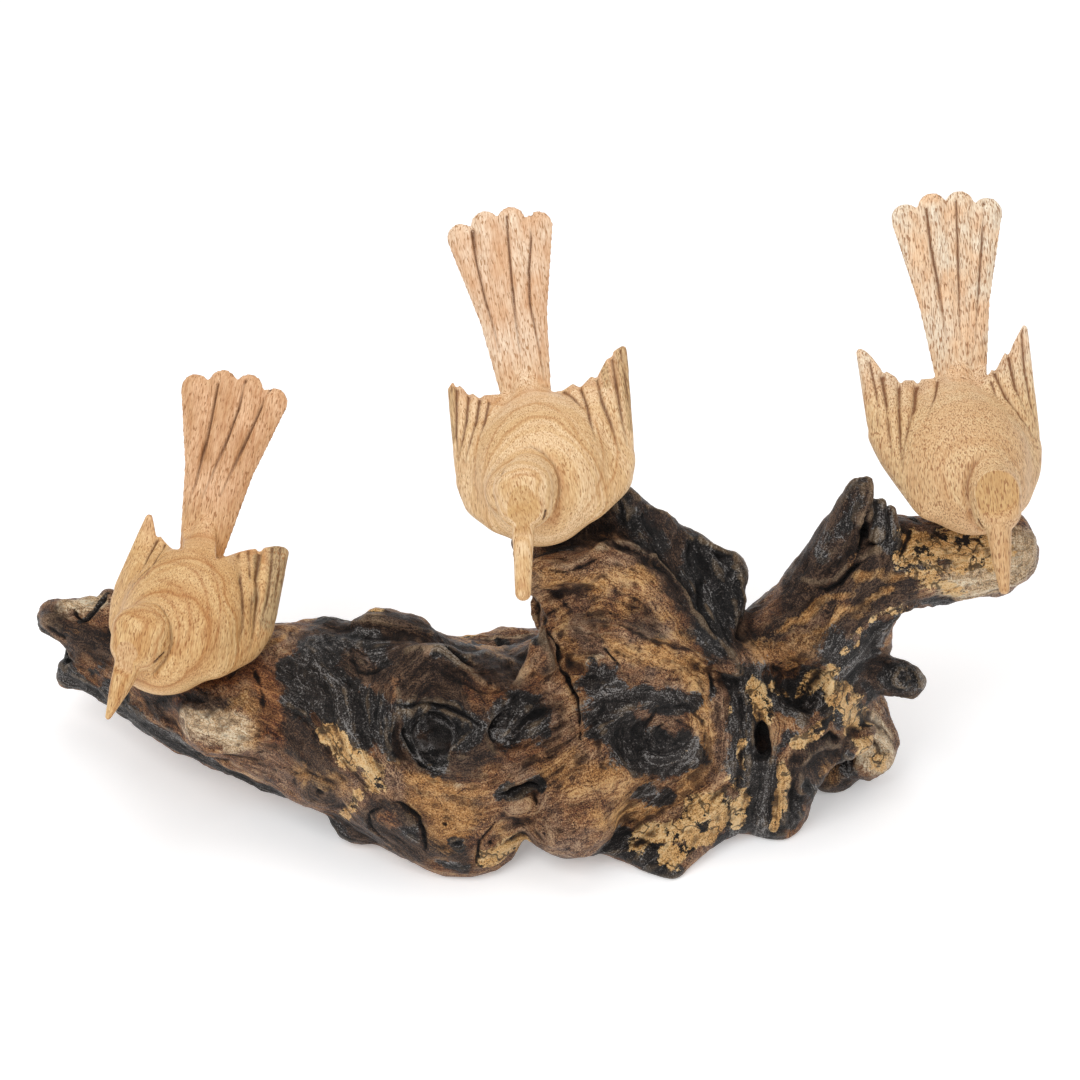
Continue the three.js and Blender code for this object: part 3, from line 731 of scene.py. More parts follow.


# Root. A dug-up root stock, dried, scraped and oiled: warm brown wood that flows round knots and
# stubs, with burnt black hollows, their darkness partly painted shade, and scraped ochre and pale places.
# Pixel lines are those of the photograph's picture, so that each mark lies where it shows; widths are in pixels of 0.4
# mm.
rootLook = {
    "voxel": 0.95,
    "passes": 3,
    "triangles": 197000,
    # The run of the grain along each branch, as points in millimetres.
    "branches": [
        [(-204, 13, 45), (-160, -5, 42), (-100, -30, 40), (-40, -55, 35)],
        [(-60, -60, 25), (-15, -50, 60), (20, -20, 90), (40, -15, 130)],
        [(-30, -80, 10), (20, -75, 20), (60, -70, 10)],
        [(20, -20, 0), (25, -10, 60), (30, -10, 130)],
        [(85, -40, 10), (108, -28, 55), (120, -22, 85), (165, -8, 103), (205, -2, 105)],
        [(112, -18, 85), (125, -12, 120), (135, -8, 145)],
        [(100, -30, 55), (130, -28, 60), (160, -31, 58)],
        [(112, -26, 50), (132, -24, 30), (140, -30, 5)],
        [(-20, 5, 10), (10, -5, 40), (20, -20, 70)],
    ],
    # How the grain flows where the picture shows it.
    "flow": [
        [(125, 592), (200, 605), (290, 612), (350, 622)],
        [(120, 640), (200, 680), (290, 730), (350, 790), (400, 830)],
        [(70, 680), (160, 728), (250, 780), (335, 822)],
        [(300, 640), (340, 690), (350, 740), (380, 790)],
        [(380, 630), (420, 640), (455, 655)],
        [(395, 690), (400, 740), (425, 775), (470, 785)],
        [(400, 685), (430, 660), (465, 685), (490, 720)],
        [(470, 665), (500, 655), (540, 650)],
        [(480, 690), (510, 690), (540, 660)],
        [(541, 635), (533, 680), (510, 700), (480, 750)],
        [(470, 760), (520, 760), (560, 740)],
        [(550, 600), (600, 580), (650, 600), (700, 645), (730, 665)],
        [(545, 575), (600, 560), (640, 572), (690, 625)],
        [(560, 640), (620, 640), (680, 660), (715, 690), (722, 740)],
        [(570, 690), (620, 680), (680, 685), (705, 720), (712, 770), (690, 800)],
        [(590, 850), (640, 810), (700, 780), (720, 760)],
        [(640, 870), (680, 820), (730, 790)],
        [(728, 650), (738, 700), (742, 760), (735, 820)],
        [(750, 640), (765, 680), (790, 720), (795, 780), (790, 830)],
        [(770, 620), (800, 600), (830, 560), (850, 500)],
        [(800, 680), (840, 620), (890, 585), (950, 575), (1025, 560)],
        [(830, 690), (870, 640), (905, 605), (960, 600), (1010, 585)],
        [(862, 482), (845, 530), (825, 580)],
        [(878, 500), (872, 560), (850, 600)],
        [(860, 660), (885, 665), (918, 684)],
        [(590, 500), (600, 530), (610, 545)],
        [(640, 500), (660, 545), (690, 600)],
        [(690, 535), (715, 590), (730, 640)],
        [(850, 730), (875, 745), (885, 770)],
        [(810, 760), (825, 780), (840, 800)],
        [(430, 790), (470, 800), (500, 790)],
        [(380, 800), (430, 850), (480, 860)],
    ],
    # Wood that the solid has only in outline: limbs as points in millimetres with a radius each.
    "limbs": [
        [(134, -14, 134, 5.5), (137, -6.5, 144.5, 2.7)],
        [(141, -14, 126, 5.0), (142.6, -9, 136.2, 2.2)],
        [(147, -14, 124, 4.0), (147, -9, 132, 2.0)],
        [(6, -54, 88, 4.5), (5.6, -51.5, 98, 2.8), (5.0, -50, 103.6, 1.1)],
        [(-181, 15, 54, 7), (-180, 20, 60, 4.2)],
        [(-205, 12, 54, 5), (-192, 16, 56, 5), (-186, 16, 56, 5)],
        [(-13, -66, 59, 6.5), (-7, -63, 59, 7), (0, -61, 61, 6.5)],
        [(-11, -61, 64, 5), (-5, -60, 66, 5), (0, -57, 69, 4)],
        [(-8, -80, 35, 5), (-2, -79, 33, 5)],
        [(163, -14, 97, 8), (172, -13, 95.5, 9), (181, -13, 98, 8)],
        [(142, -27, 92, 7.5), (143, -27, 80, 7), (143, -26, 70, 7)],
    ],
    # The dark wall between the back plate's rim and the lip in front of it: rim, middle, lip.
    "wall": [
        ((22, -12, 137), (23, -21, 131), (20, -27, 126)),
        ((33, -11.5, 139), (34, -22, 131), (33, -32, 128)),
        ((46, -17, 137), (45, -27, 127), (44, -36, 123)),
        ((58, -18, 127), (56, -30, 118), (55, -41, 114)),
        ((70, -17, 120), (67, -31, 109), (65, -45, 102)),
        ((83, -23, 117), (79, -34, 102), (73, -47, 93)),
        ((85, -29, 104), (83, -38, 95), (80, -47, 87)),
    ],
    # Gaps cut right through: outline in pixels, a point in the middle, half the depth.
    "gaps": [
        ([(500, 556), (511, 556), (514, 570), (520, 583), (534, 598), (500, 598)], (-4, -36, 112), 16),
        ([(500, 596), (534, 596), (541, 608), (541, 625), (537, 636), (500, 637)], (0, -44, 105), 16),
        ([(540, 606), (546, 620), (548.5, 634), (541, 624)], (5, -48, 105), 12),
        ([(875, 472), (879, 496), (868, 513), (872.5, 495)], (140, -8, 137), 12),
        ([(895, 640), (896, 618), (901, 611.5), (913, 607.5), (927, 607), (939, 611), (939, 640)], (155, -25, 93), 24),
    ],
    # Knots: centre, radius in pixels, height of the rim and depth of the eye in millimetres.
    "knots": [
        ((445, 824), 5, 0.3, 1.8),
        ((458, 843), 9, 1.0, 1.6),
        ((491, 843), 6, 0.5, 1.0),
        ((667, 735), 20, 0.4, 0.6),
        ((902, 679), 11, 0.8, 1.0),
        ((320, 792), 11, 0.4, 2.6),
        ((780, 664), 5, 0.6, 0.8),
        ((790, 667), 5, 0.6, 0.8),
        ((917, 529), 5, 0.5, 0.5),
        ((543, 835), 6, 0.5, 1.0),
    ],
    # Raised edges: line, width in pixels, height in millimetres.
    "ridges": [
        ([(409, 651), (421, 648), (436, 650), (452, 657), (467, 670), (481, 682)], 5, 2.2),
        ([(398, 690), (397, 715), (404, 745), (420, 770)], 5, 1.2),
        ([(540, 561), (567, 566), (582, 559), (597, 550), (605, 544), (613, 544), (638, 549), (651, 557)], 4, 2.0),
        ([(651, 557), (659, 567), (672, 578), (682, 592), (691, 613), (706, 629), (718, 638), (729, 651)], 4, 2.2),
        ([(618, 493), (630, 490), (638, 498)], 4, 1.2),
        ([(648, 507), (666, 514), (675, 522), (690, 540)], 3, 1.0),
        ([(700, 541), (717, 549), (734, 555), (740, 578), (742, 600), (741, 620)], 3, 1.2),
        ([(878, 551), (850, 561), (836, 577), (820, 583), (804, 579)], 6, 1.6),
        ([(800, 792), (799, 765), (810, 752), (825, 745), (838, 744)], 6, 2.0),
        ([(152, 702), (165, 722), (185, 738), (210, 750), (240, 750), (270, 738)], 5, 1.6),
        ([(541, 630), (545, 648), (553, 668)], 5, 1.4),
        ([(536, 656), (530, 668), (521, 678)], 4, 1.2),
        ([(735, 655), (745, 690), (748, 740)], 6, 1.0),
        ([(784, 760), (785, 800), (800, 818)], 5, 1.2),
        ([(60, 604), (78, 597), (92, 596)], 5, 1.0),
        ([(650, 845), (690, 820), (735, 795)], 8, 1.0),
        ([(405, 820), (412, 835)], 12, 1.2),
        ([(850, 742), (856, 768), (870, 780)], 4, 1.0),
    ],
    # Grooves and cracks: line, width in pixels, depth in millimetres, darkness. The darkness is painted shade in the
    # groove, and in a few lines also a dark mark in the wood.
    "grooves": [
        ([(547, 631), (557, 648), (560, 660), (571, 688), (577, 706), (580, 743)], 2.2, 5.0, 1.0),
        ([(398, 706), (421, 704), (444, 708), (467, 717), (481, 725)], 3.5, 3.6, 0.8),
        ([(401, 709), (402, 728), (408, 746), (421, 764), (434, 772)], 3, 2.0, 0.4),
        ([(428, 738), (452, 735)], 28, 1.6, 0.0),
        ([(444, 648), (458, 654), (473, 667)], 3.5, 4.0, 0.8),
        ([(495, 727), (513, 716), (530, 717)], 11, 1.2, 0.1),
        ([(492, 736), (513, 739), (533, 725)], 3, 1.2, 0.3),
        ([(503, 796), (518, 790), (538, 786)], 4.5, 5.0, 1.0),
        ([(496, 822), (481, 843), (477, 866)], 2.4, 2.0, 0.4),
        ([(386, 803), (399, 804), (418, 818), (425, 834), (425, 854)], 2.6, 2.4, 0.5),
        ([(386, 803), (369, 812), (372, 826), (386, 840)], 2.2, 1.4, 0.2),
        ([(596, 643), (606, 651), (616, 664), (627, 671)], 1.4, 1.4, 0.6),
        ([(618, 623), (638, 634), (659, 644), (680, 647), (698, 653)], 4.5, 1.6, 0.2),
        ([(712, 662), (711, 680), (709, 700)], 2.2, 1.5, 0.9),
        ([(702, 575), (698, 592), (702, 612), (714, 632), (727, 648)], 4.5, 2.4, 0.7),
        ([(712, 552), (726, 562), (730, 585)], 7, 1.4, 0.4),
        ([(618, 493), (622, 510), (626, 532)], 2.2, 1.4, 0.6),
        ([(641, 507), (645, 522), (656, 542)], 2.2, 1.2, 0.5),
        ([(690, 541), (688, 556), (692, 572)], 2.4, 1.2, 0.5),
        ([(545, 569), (566, 573), (585, 567), (600, 556)], 3, 1.0, 0.3),
        ([(543, 590), (556, 596), (575, 612)], 3, 0.8, 0.3),
        ([(640, 700), (602, 702), (592, 730), (604, 765), (640, 790)], 6, 1.6, 0.2),
        ([(645, 762), (641, 735), (655, 710), (685, 704), (703, 722), (704, 756)], 2.2, 1.0, 0.3),
        ([(655, 750), (655, 728), (672, 716), (690, 728), (690, 748)], 2, 0.8, 0.25),
        ([(740, 660), (741, 700), (742, 760), (735, 800)], 3, 1.8, 0.4),
        ([(762, 723), (762, 736), (762, 750)], 5, 4.0, 1.0),
        ([(819, 739), (830, 736), (841, 740)], 3, 2.4, 0.9),
        ([(868, 512), (866, 520), (864, 537), (857, 553)], 2.4, 4.0, 1.0),
        ([(808, 585), (826, 591), (840, 583), (853, 569), (870, 557)], 2.4, 2.4, 0.5),
        ([(910, 519), (906, 544), (897, 564)], 2.6, 1.8, 0.8),
        ([(916, 520)], 4, 2.6, 0.9),
        ([(930, 546), (931, 537), (934, 531), (946, 534), (958, 537), (958, 544), (948, 550), (930, 546)], 1.4, 0.6, 0.9),
        ([(958, 538), (965, 541), (975, 540), (985, 546), (992, 548)], 1.6, 0.6, 0.9),
        ([(952, 553), (968, 556), (976, 550)], 1.4, 0.5, 0.7),
        ([(74, 598), (76, 615), (84, 623)], 2.0, 1.6, 0.9),
        ([(110, 592), (99, 606), (92, 614), (84, 622), (75, 623)], 2.0, 1.8, 1.0),
        ([(46, 625), (60, 634), (66, 640)], 3, 1.4, 0.7),
        ([(165, 738), (190, 752), (220, 760), (262, 752)], 3.5, 1.6, 0.3),
        ([(252, 665), (262, 690), (262, 715)], 3, 1.2, 0.2),
        ([(156, 703), (175, 694), (203, 700)], 7, 2.2, 0.3),
        ([(795, 780), (790, 805), (798, 826)], 3, 1.6, 0.7),
        ([(690, 820), (720, 850), (735, 830)], 3, 1.0, 0.2),
        ([(610, 850), (640, 842), (665, 852)], 3.5, 1.4, 0.6),
        ([(467, 643), (500, 643), (535, 642)], 4, 1.6, 0.8),
        ([(847, 742), (852, 760), (860, 776)], 2.2, 1.2, 0.7),
        ([(388, 664), (372, 672), (358, 668), (350, 650)], 3.5, 1.4, 0.2),
    ],
    # Colour fields: line, width in pixels, strength.
    "dark": [  # oiled nearly black-brown
        ([(322, 640), (340, 624), (365, 620), (390, 632), (398, 655)], 26, 1.0),
        ([(345, 655), (375, 665)], 24, 1.0),
        ([(400, 622), (430, 630), (450, 645)], 16, 0.9),
        ([(415, 665), (440, 672), (462, 690), (475, 705)], 18, 0.9),
        # the cave under the knob's lid: its dark wood, deepened with painted shade
        ([(405, 720), (430, 735), (455, 730), (470, 735)], 34, 1.0),
        ([(412, 738), (430, 755), (455, 755), (478, 738)], 24, 0.9),
        ([(395, 678), (430, 682), (460, 698)], 24, 0.8),
        ([(450, 652), (490, 662), (525, 660)], 26, 0.7),
        ([(445, 640), (480, 650), (520, 645)], 16, 0.8),
        ([(470, 665), (500, 680), (525, 690)], 16, 0.5),
        ([(560, 540), (590, 525), (620, 515)], 20, 0.9),
        ([(625, 500), (650, 520), (690, 555), (725, 600)], 34, 1.0),
        ([(640, 545), (680, 585), (708, 625), (722, 645)], 20, 1.0),
        ([(735, 560), (738, 600), (736, 640)], 14, 1.0),
        ([(865, 480), (850, 515), (830, 550), (805, 575)], 28, 1.0),
        ([(885, 500), (888, 530), (895, 552)], 26, 1.0),
        ([(860, 530), (850, 560), (875, 550)], 20, 1.0),
        ([(800, 590), (790, 620), (760, 640)], 16, 0.7),
        ([(835, 600), (870, 590), (905, 575)], 22, 0.85),
        ([(800, 650), (840, 625), (880, 612), (905, 600)], 20, 0.6),
        ([(905, 600), (930, 602), (955, 610)], 8, 0.8),
        ([(798, 790), (805, 760), (825, 745), (842, 745)], 14, 0.9),
        # painted shadow on the lower part of the rear foot
        ([(815, 775), (835, 790), (850, 785)], 26, 0.95),
        ([(872, 678), (895, 672), (918, 680)], 28, 1.0),
        ([(880, 672), (900, 690)], 16, 0.8),
        ([(385, 820), (405, 825), (418, 845)], 26, 0.95),
        ([(350, 828), (375, 840)], 24, 0.9),
        ([(458, 855), (465, 866)], 14, 0.8),
        ([(45, 610), (60, 625), (75, 650)], 12, 0.6),
        ([(60, 650), (90, 645), (110, 650)], 18, 0.8),
        ([(153, 700), (175, 695), (200, 700)], 14, 0.95),
        ([(278, 700), (300, 740), (320, 775)], 26, 0.7),
        ([(185, 690), (205, 697), (240, 700)], 7, 0.7),
        ([(320, 792)], 18, 0.9),
        ([(575, 625), (600, 625)], 16, 0.35),
        ([(545, 640), (550, 665)], 8, 0.4),
        ([(640, 615), (660, 632)], 14, 0.4),
        ([(545, 700), (545, 740)], 14, 0.3),
        ([(540, 850), (570, 862)], 8, 0.5),
    ],
    "black": [  # burnt or old black coat; its lightest tones are a painted blue-grey sheen
        ([(63, 668), (100, 697), (150, 727), (200, 757), (270, 797), (330, 830)], 20, 1.0),
        ([(110, 692), (160, 733), (230, 773), (290, 808)], 18, 0.85),
        ([(38, 622), (45, 632), (56, 645)], 7, 1.0),
        ([(112, 590), (100, 600), (92, 612), (80, 622)], 4, 0.9),
        ([(318, 648), (318, 672), (332, 702), (356, 728)], 26, 1.0),
        ([(292, 668), (302, 705)], 18, 0.9),
        ([(350, 690), (375, 715), (385, 740)], 18, 0.85),
        ([(345, 640), (370, 640), (385, 655)], 16, 0.7),
        # the cave under the knob's lid: its crease and inside blackened, partly dark wood and partly painted shade
        ([(400, 706), (431, 710), (456, 716), (479, 727)], 10, 1.0),
        ([(440, 728), (465, 735)], 18, 0.85),
        ([(408, 716), (411, 738), (426, 757)], 13, 0.9),
        ([(430, 716), (455, 722), (474, 734)], 13, 1.0),
        ([(425, 752), (440, 765)], 14, 0.9),
        ([(440, 650), (460, 658)], 8, 1.0),
        ([(467, 643), (500, 644), (536, 643)], 6, 1.0),
        ([(497, 727), (515, 716), (530, 718)], 22, 1.0),
        ([(503, 796), (518, 790), (538, 786)], 9, 1.0),
        ([(620, 500), (640, 530), (660, 545)], 16, 0.6),
        ([(862, 485), (846, 520), (822, 555)], 14, 0.6),
        ([(880, 502), (884, 530), (892, 550)], 13, 0.9),
        ([(700, 560), (705, 600), (715, 635)], 22, 1.0),
        ([(712, 552), (730, 575), (736, 610)], 14, 0.9),
        ([(602, 690), (612, 725), (640, 752), (680, 756)], 26, 1.0),
        ([(620, 695), (650, 700), (690, 702)], 13, 0.9),
        ([(665, 735), (690, 740)], 10, 0.4),
        ([(640, 792), (665, 798)], 13, 0.75),
        ([(712, 664), (710, 698)], 4, 0.9),
        ([(743, 680), (760, 690), (780, 700), (800, 705)], 24, 1.0),
        ([(790, 690), (815, 680), (835, 690)], 18, 0.9),
        ([(745, 700), (748, 760), (750, 820)], 20, 1.0),
        ([(760, 770), (765, 830)], 22, 1.0),
        ([(720, 800), (735, 830)], 16, 0.9),
        ([(770, 765), (790, 800), (795, 825)], 12, 0.7),
        ([(820, 700), (838, 722)], 18, 0.9),
        ([(835, 655), (852, 668), (868, 650), (874, 636)], 20, 1.0),
        ([(867, 690), (868, 702)], 9, 0.85),
        ([(776, 760), (780, 745), (790, 735)], 7, 0.8),
        ([(845, 758), (850, 772)], 11, 0.9),
        # painted shadow under the rear foot
        ([(808, 782), (815, 790)], 9, 0.9),
        ([(900, 567), (925, 563), (948, 560)], 8, 0.7),
        ([(858, 637), (885, 625), (905, 610), (930, 604), (955, 612)], 6, 0.95),
        ([(912, 514), (916, 522)], 7, 0.9),
        ([(892, 678), (912, 685)], 14, 1.0),
        ([(838, 650), (850, 662)], 22, 1.0),
        ([(930, 530), (960, 524), (985, 530)], 6, 0.6),
        ([(610, 840), (640, 850), (665, 868)], 20, 1.0),
        ([(600, 850), (632, 855)], 10, 1.0),
        ([(412, 832)], 14, 0.7),
        ([(458, 843)], 9, 0.9),
        ([(435, 864), (470, 868)], 5, 0.8),
        ([(720, 840), (726, 850)], 8, 0.8),
        ([(80, 680), (100, 668)], 9, 0.6),
    ],
    # The back, which the photo doesn't show, wears the same coats: coat, size in mm, seed, from, to.
    "behind": [
        ("dark", 50.0, 41, 0.0, 0.5),
        ("black", 40.0, 42, 0.25, 0.6),
        ("golden", 36.0, 43, 0.1, 0.6),
        ("ochre", 30.0, 44, 0.45, 0.7),
    ],
    "ochre": [  # raw yellow wood where the coat has flaked off
        ([(330, 735), (345, 748), (355, 755)], 15, 0.95),
        ([(370, 768), (378, 784)], 13, 0.95),
        ([(356, 795), (342, 814)], 8, 0.8),
        ([(486, 858), (503, 849), (520, 838)], 13, 0.95),
        ([(640, 838), (670, 830), (705, 818), (735, 805)], 15, 1.0),
        ([(700, 836), (718, 828), (735, 820)], 12, 1.0),
        ([(690, 805), (715, 795), (735, 790)], 12, 0.7),
        ([(668, 860), (688, 850)], 12, 0.95),
        ([(755, 685), (762, 700), (766, 715)], 12, 0.95),
        ([(772, 684), (780, 692)], 9, 0.8),
        ([(806, 690), (820, 678), (830, 672)], 10, 0.85),
        ([(835, 690), (848, 705), (862, 718)], 15, 0.95),
        ([(850, 730), (868, 722)], 9, 0.9),
        ([(798, 742), (813, 730), (830, 722)], 9, 1.0),
        ([(784, 768), (783, 802)], 8, 0.95),
        ([(778, 808), (774, 828)], 6, 0.9),
        ([(845, 655), (855, 645)], 7, 0.7),
        ([(850, 633), (880, 618), (905, 608)], 5, 0.8),
        ([(918, 546), (945, 545), (990, 550)], 22, 0.9),
        ([(900, 562), (930, 580), (960, 590)], 12, 0.6),
        ([(862, 745), (880, 765)], 16, 0.7),
        ([(742, 740), (742, 780)], 6, 0.6),
        ([(728, 700), (726, 780)], 5, 0.65),
    ],
    "pale": [  # dry, scraped or cut wood, and thin painted highlights along lit edges
        ([(188, 718), (212, 722), (238, 730)], 22, 0.95),
        ([(960, 575), (985, 590), (1005, 570), (1025, 545)], 26, 1.0),
        ([(940, 592), (960, 598)], 10, 0.7),
        ([(868, 755), (885, 765)], 20, 1.0),
        ([(875, 720), (888, 740)], 14, 0.8),
        ([(250, 628), (300, 612), (345, 618)], 10, 0.85),
        ([(60, 610), (80, 606), (98, 600)], 14, 0.8),
        ([(598, 657), (588, 669)], 4, 0.8),
        # painted highlight under the lip of the face
        ([(692, 628), (708, 638), (724, 650)], 5, 0.8),
        ([(460, 786)], 6, 0.7),
        # painted highlight along the lit rim of the face
        ([(600, 548), (615, 546), (640, 552)], 5, 0.6),
        # painted highlight along the knob's rim
        ([(410, 650), (436, 648), (455, 658), (470, 671)], 3, 0.8),
        ([(467, 638), (490, 637), (530, 635)], 4, 0.6),
    ],
    "rust": [  # red heartwood
        ([(255, 665), (272, 690), (272, 738)], 14, 1.0),
        ([(170, 692), (205, 680), (250, 672)], 13, 0.9),
        ([(470, 690), (480, 705), (500, 700)], 12, 0.6),
        ([(500, 750), (530, 755)], 14, 0.5),
        ([(535, 680), (540, 710)], 12, 0.5),
        ([(770, 720), (780, 745)], 10, 0.6),
        ([(830, 600), (850, 605)], 12, 0.4),
        ([(385, 815), (400, 825)], 10, 0.5),
        ([(740, 650), (760, 650), (800, 650)], 14, 0.35),
        ([(395, 680), (390, 700)], 8, 0.5),
    ],
    "golden": [  # rubbed to a warm gold brown
        ([(545, 580), (582, 585), (624, 578), (647, 571)], 13, 0.7),
        ([(600, 600), (640, 600)], 14, 0.5),
        ([(560, 775), (600, 776), (640, 782)], 22, 0.6),
        ([(560, 610), (572, 650), (575, 690)], 12, 0.5),
        ([(650, 600), (685, 640)], 10, 0.5),
        ([(620, 650), (666, 658), (695, 668), (702, 720)], 15, 0.8),
        ([(705, 730), (700, 770), (680, 800)], 12, 0.8),
        ([(575, 655), (590, 680)], 12, 0.5),
        ([(408, 780), (422, 783), (435, 786)], 9, 0.9),
        ([(430, 800), (470, 806), (450, 830)], 24, 0.8),
        ([(500, 830), (510, 845)], 10, 0.5),
        ([(600, 820), (640, 812), (680, 800)], 14, 0.7),
        ([(760, 650), (790, 650), (820, 640)], 18, 0.5),
        ([(774, 720), (778, 745)], 10, 0.4),
        ([(840, 615), (870, 608)], 10, 0.4),
        ([(826, 768), (836, 776)], 9, 0.5),
        ([(240, 700), (262, 715), (255, 740)], 12, 0.6),
        ([(300, 770), (340, 785), (350, 800)], 14, 0.6),
        ([(236, 650), (265, 628), (305, 612)], 12, 0.8),
        ([(262, 648), (300, 628)], 7, 0.7),
        ([(798, 642), (840, 615), (890, 590)], 5, 0.8),
        ([(785, 628), (820, 604), (850, 592)], 5, 0.7),
        ([(805, 660), (835, 632)], 5, 0.7),
        ([(860, 578), (900, 574), (925, 570)], 7, 0.7),
        ([(790, 655), (792, 672)], 14, 0.5),
        ([(395, 770), (385, 750)], 10, 0.35),
    ],
}


def thinned(mesh, triangles):  # fewer faces, most where the skin is flattest
    blank = bpy.data.objects.new("thinned", mesh)
    scene.collection.objects.link(blank)
    modifier = blank.modifiers.new("Thin", "DECIMATE")
    modifier.ratio = min(1.0, triangles / (2 * len(mesh.polygons)))
    baked = bpy.data.meshes.new_from_object(blank.evaluated_get(bpy.context.evaluated_depsgraph_get()))
    bpy.data.objects.remove(blank)
    return baked


def rootBlank():
    shape = bmesh.new()
    shape.from_mesh(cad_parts["root_base"].data)
    bmesh.ops.scale(shape, verts=shape.verts[:], vec=(1 / mm,) * 3)
    bmesh.ops.remove_doubles(shape, verts=shape.verts[:], dist=0.01)
    for limb in rootLook["limbs"]:
        addLimb(shape, *limb)
    for before, after in zip(rootLook["wall"][:-1], rootLook["wall"][1:]):
        for k in (0, 1):
            addHull(shape, [(point, 2.4) for point in (before[k], before[k + 1], after[k], after[k + 1])])
    mesh = fused(shape, 1.0, 0)
    for outline, middle, reach in rootLook["gaps"]:
        mesh = cutAway(mesh, seenBlock(outline, middle, reach))
    shape = bmesh.new()
    shape.from_mesh(mesh)
    return fused(shape, rootLook["voxel"], rootLook["passes"])


def grainHeadings(points, normals, tree):  # which way the grain runs over the skin
    pull = np.zeros((len(points), 3, 3))

    def follow(line, width, strength):
        gap, heading, _, _ = nearLine(points, line)
        weight = strength / (1 + (gap / width) ** 2) ** 2
        pull[:] += weight[:, None, None] * heading[:, :, None] * heading[:, None, :]

    for branch in rootLook["branches"]:
        follow(np.array(branch, float), 25.0, 0.05)
    for pixels in rootLook["flow"]:
        follow(traced(tree, pixels), 7.0, 1.0)
    for centre, radius, _, _ in rootLook["knots"]:
        middle = onSurface(tree, centre)
        out = points - middle
        around = np.cross(normals, out)
        gap = np.linalg.norm(out, axis=1)
        around /= np.maximum(np.linalg.norm(around, axis=1), 1e-6)[:, None]
        weight = 6.0 * np.exp(-((gap / (radius * 0.4 * 1.25)) ** 2))
        pull += weight[:, None, None] * around[:, :, None] * around[:, None, :]
    flat = np.eye(3)[None] - normals[:, :, None] * normals[:, None, :]
    pull = flat @ pull @ flat
    return np.linalg.eigh(pull)[1][:, :, 2]


def combed(points, headings, values, stride, steps):  # values drawn out along the grain
    finder = KDTree(len(points))
    for i, point in enumerate(points):
        finder.insert(point, i)
    finder.balance()
    onward = np.array([finder.find(p)[1] for p in points + headings * stride])
    back = np.array([finder.find(p)[1] for p in points - headings * stride])
    total = values.copy()
    for way in (1.0, -1.0):
        spot = np.arange(len(points))
        sense = np.full(len(points), way)
        for _ in range(steps):
            before = headings[spot] * sense[:, None]
            spot = np.where(sense > 0, onward[spot], back[spot])
            sense = np.where((headings[spot] * before).sum(1) > 0, 1.0, -1.0)
            total += values[spot]
    return total / (2 * steps + 1)


def evened(values):  # stretched to run from 0 to 1
    order = values.argsort().argsort()
    return order / (len(values) - 1)


rootCoats = ("dark", "black", "ochre", "pale", "rust", "golden")


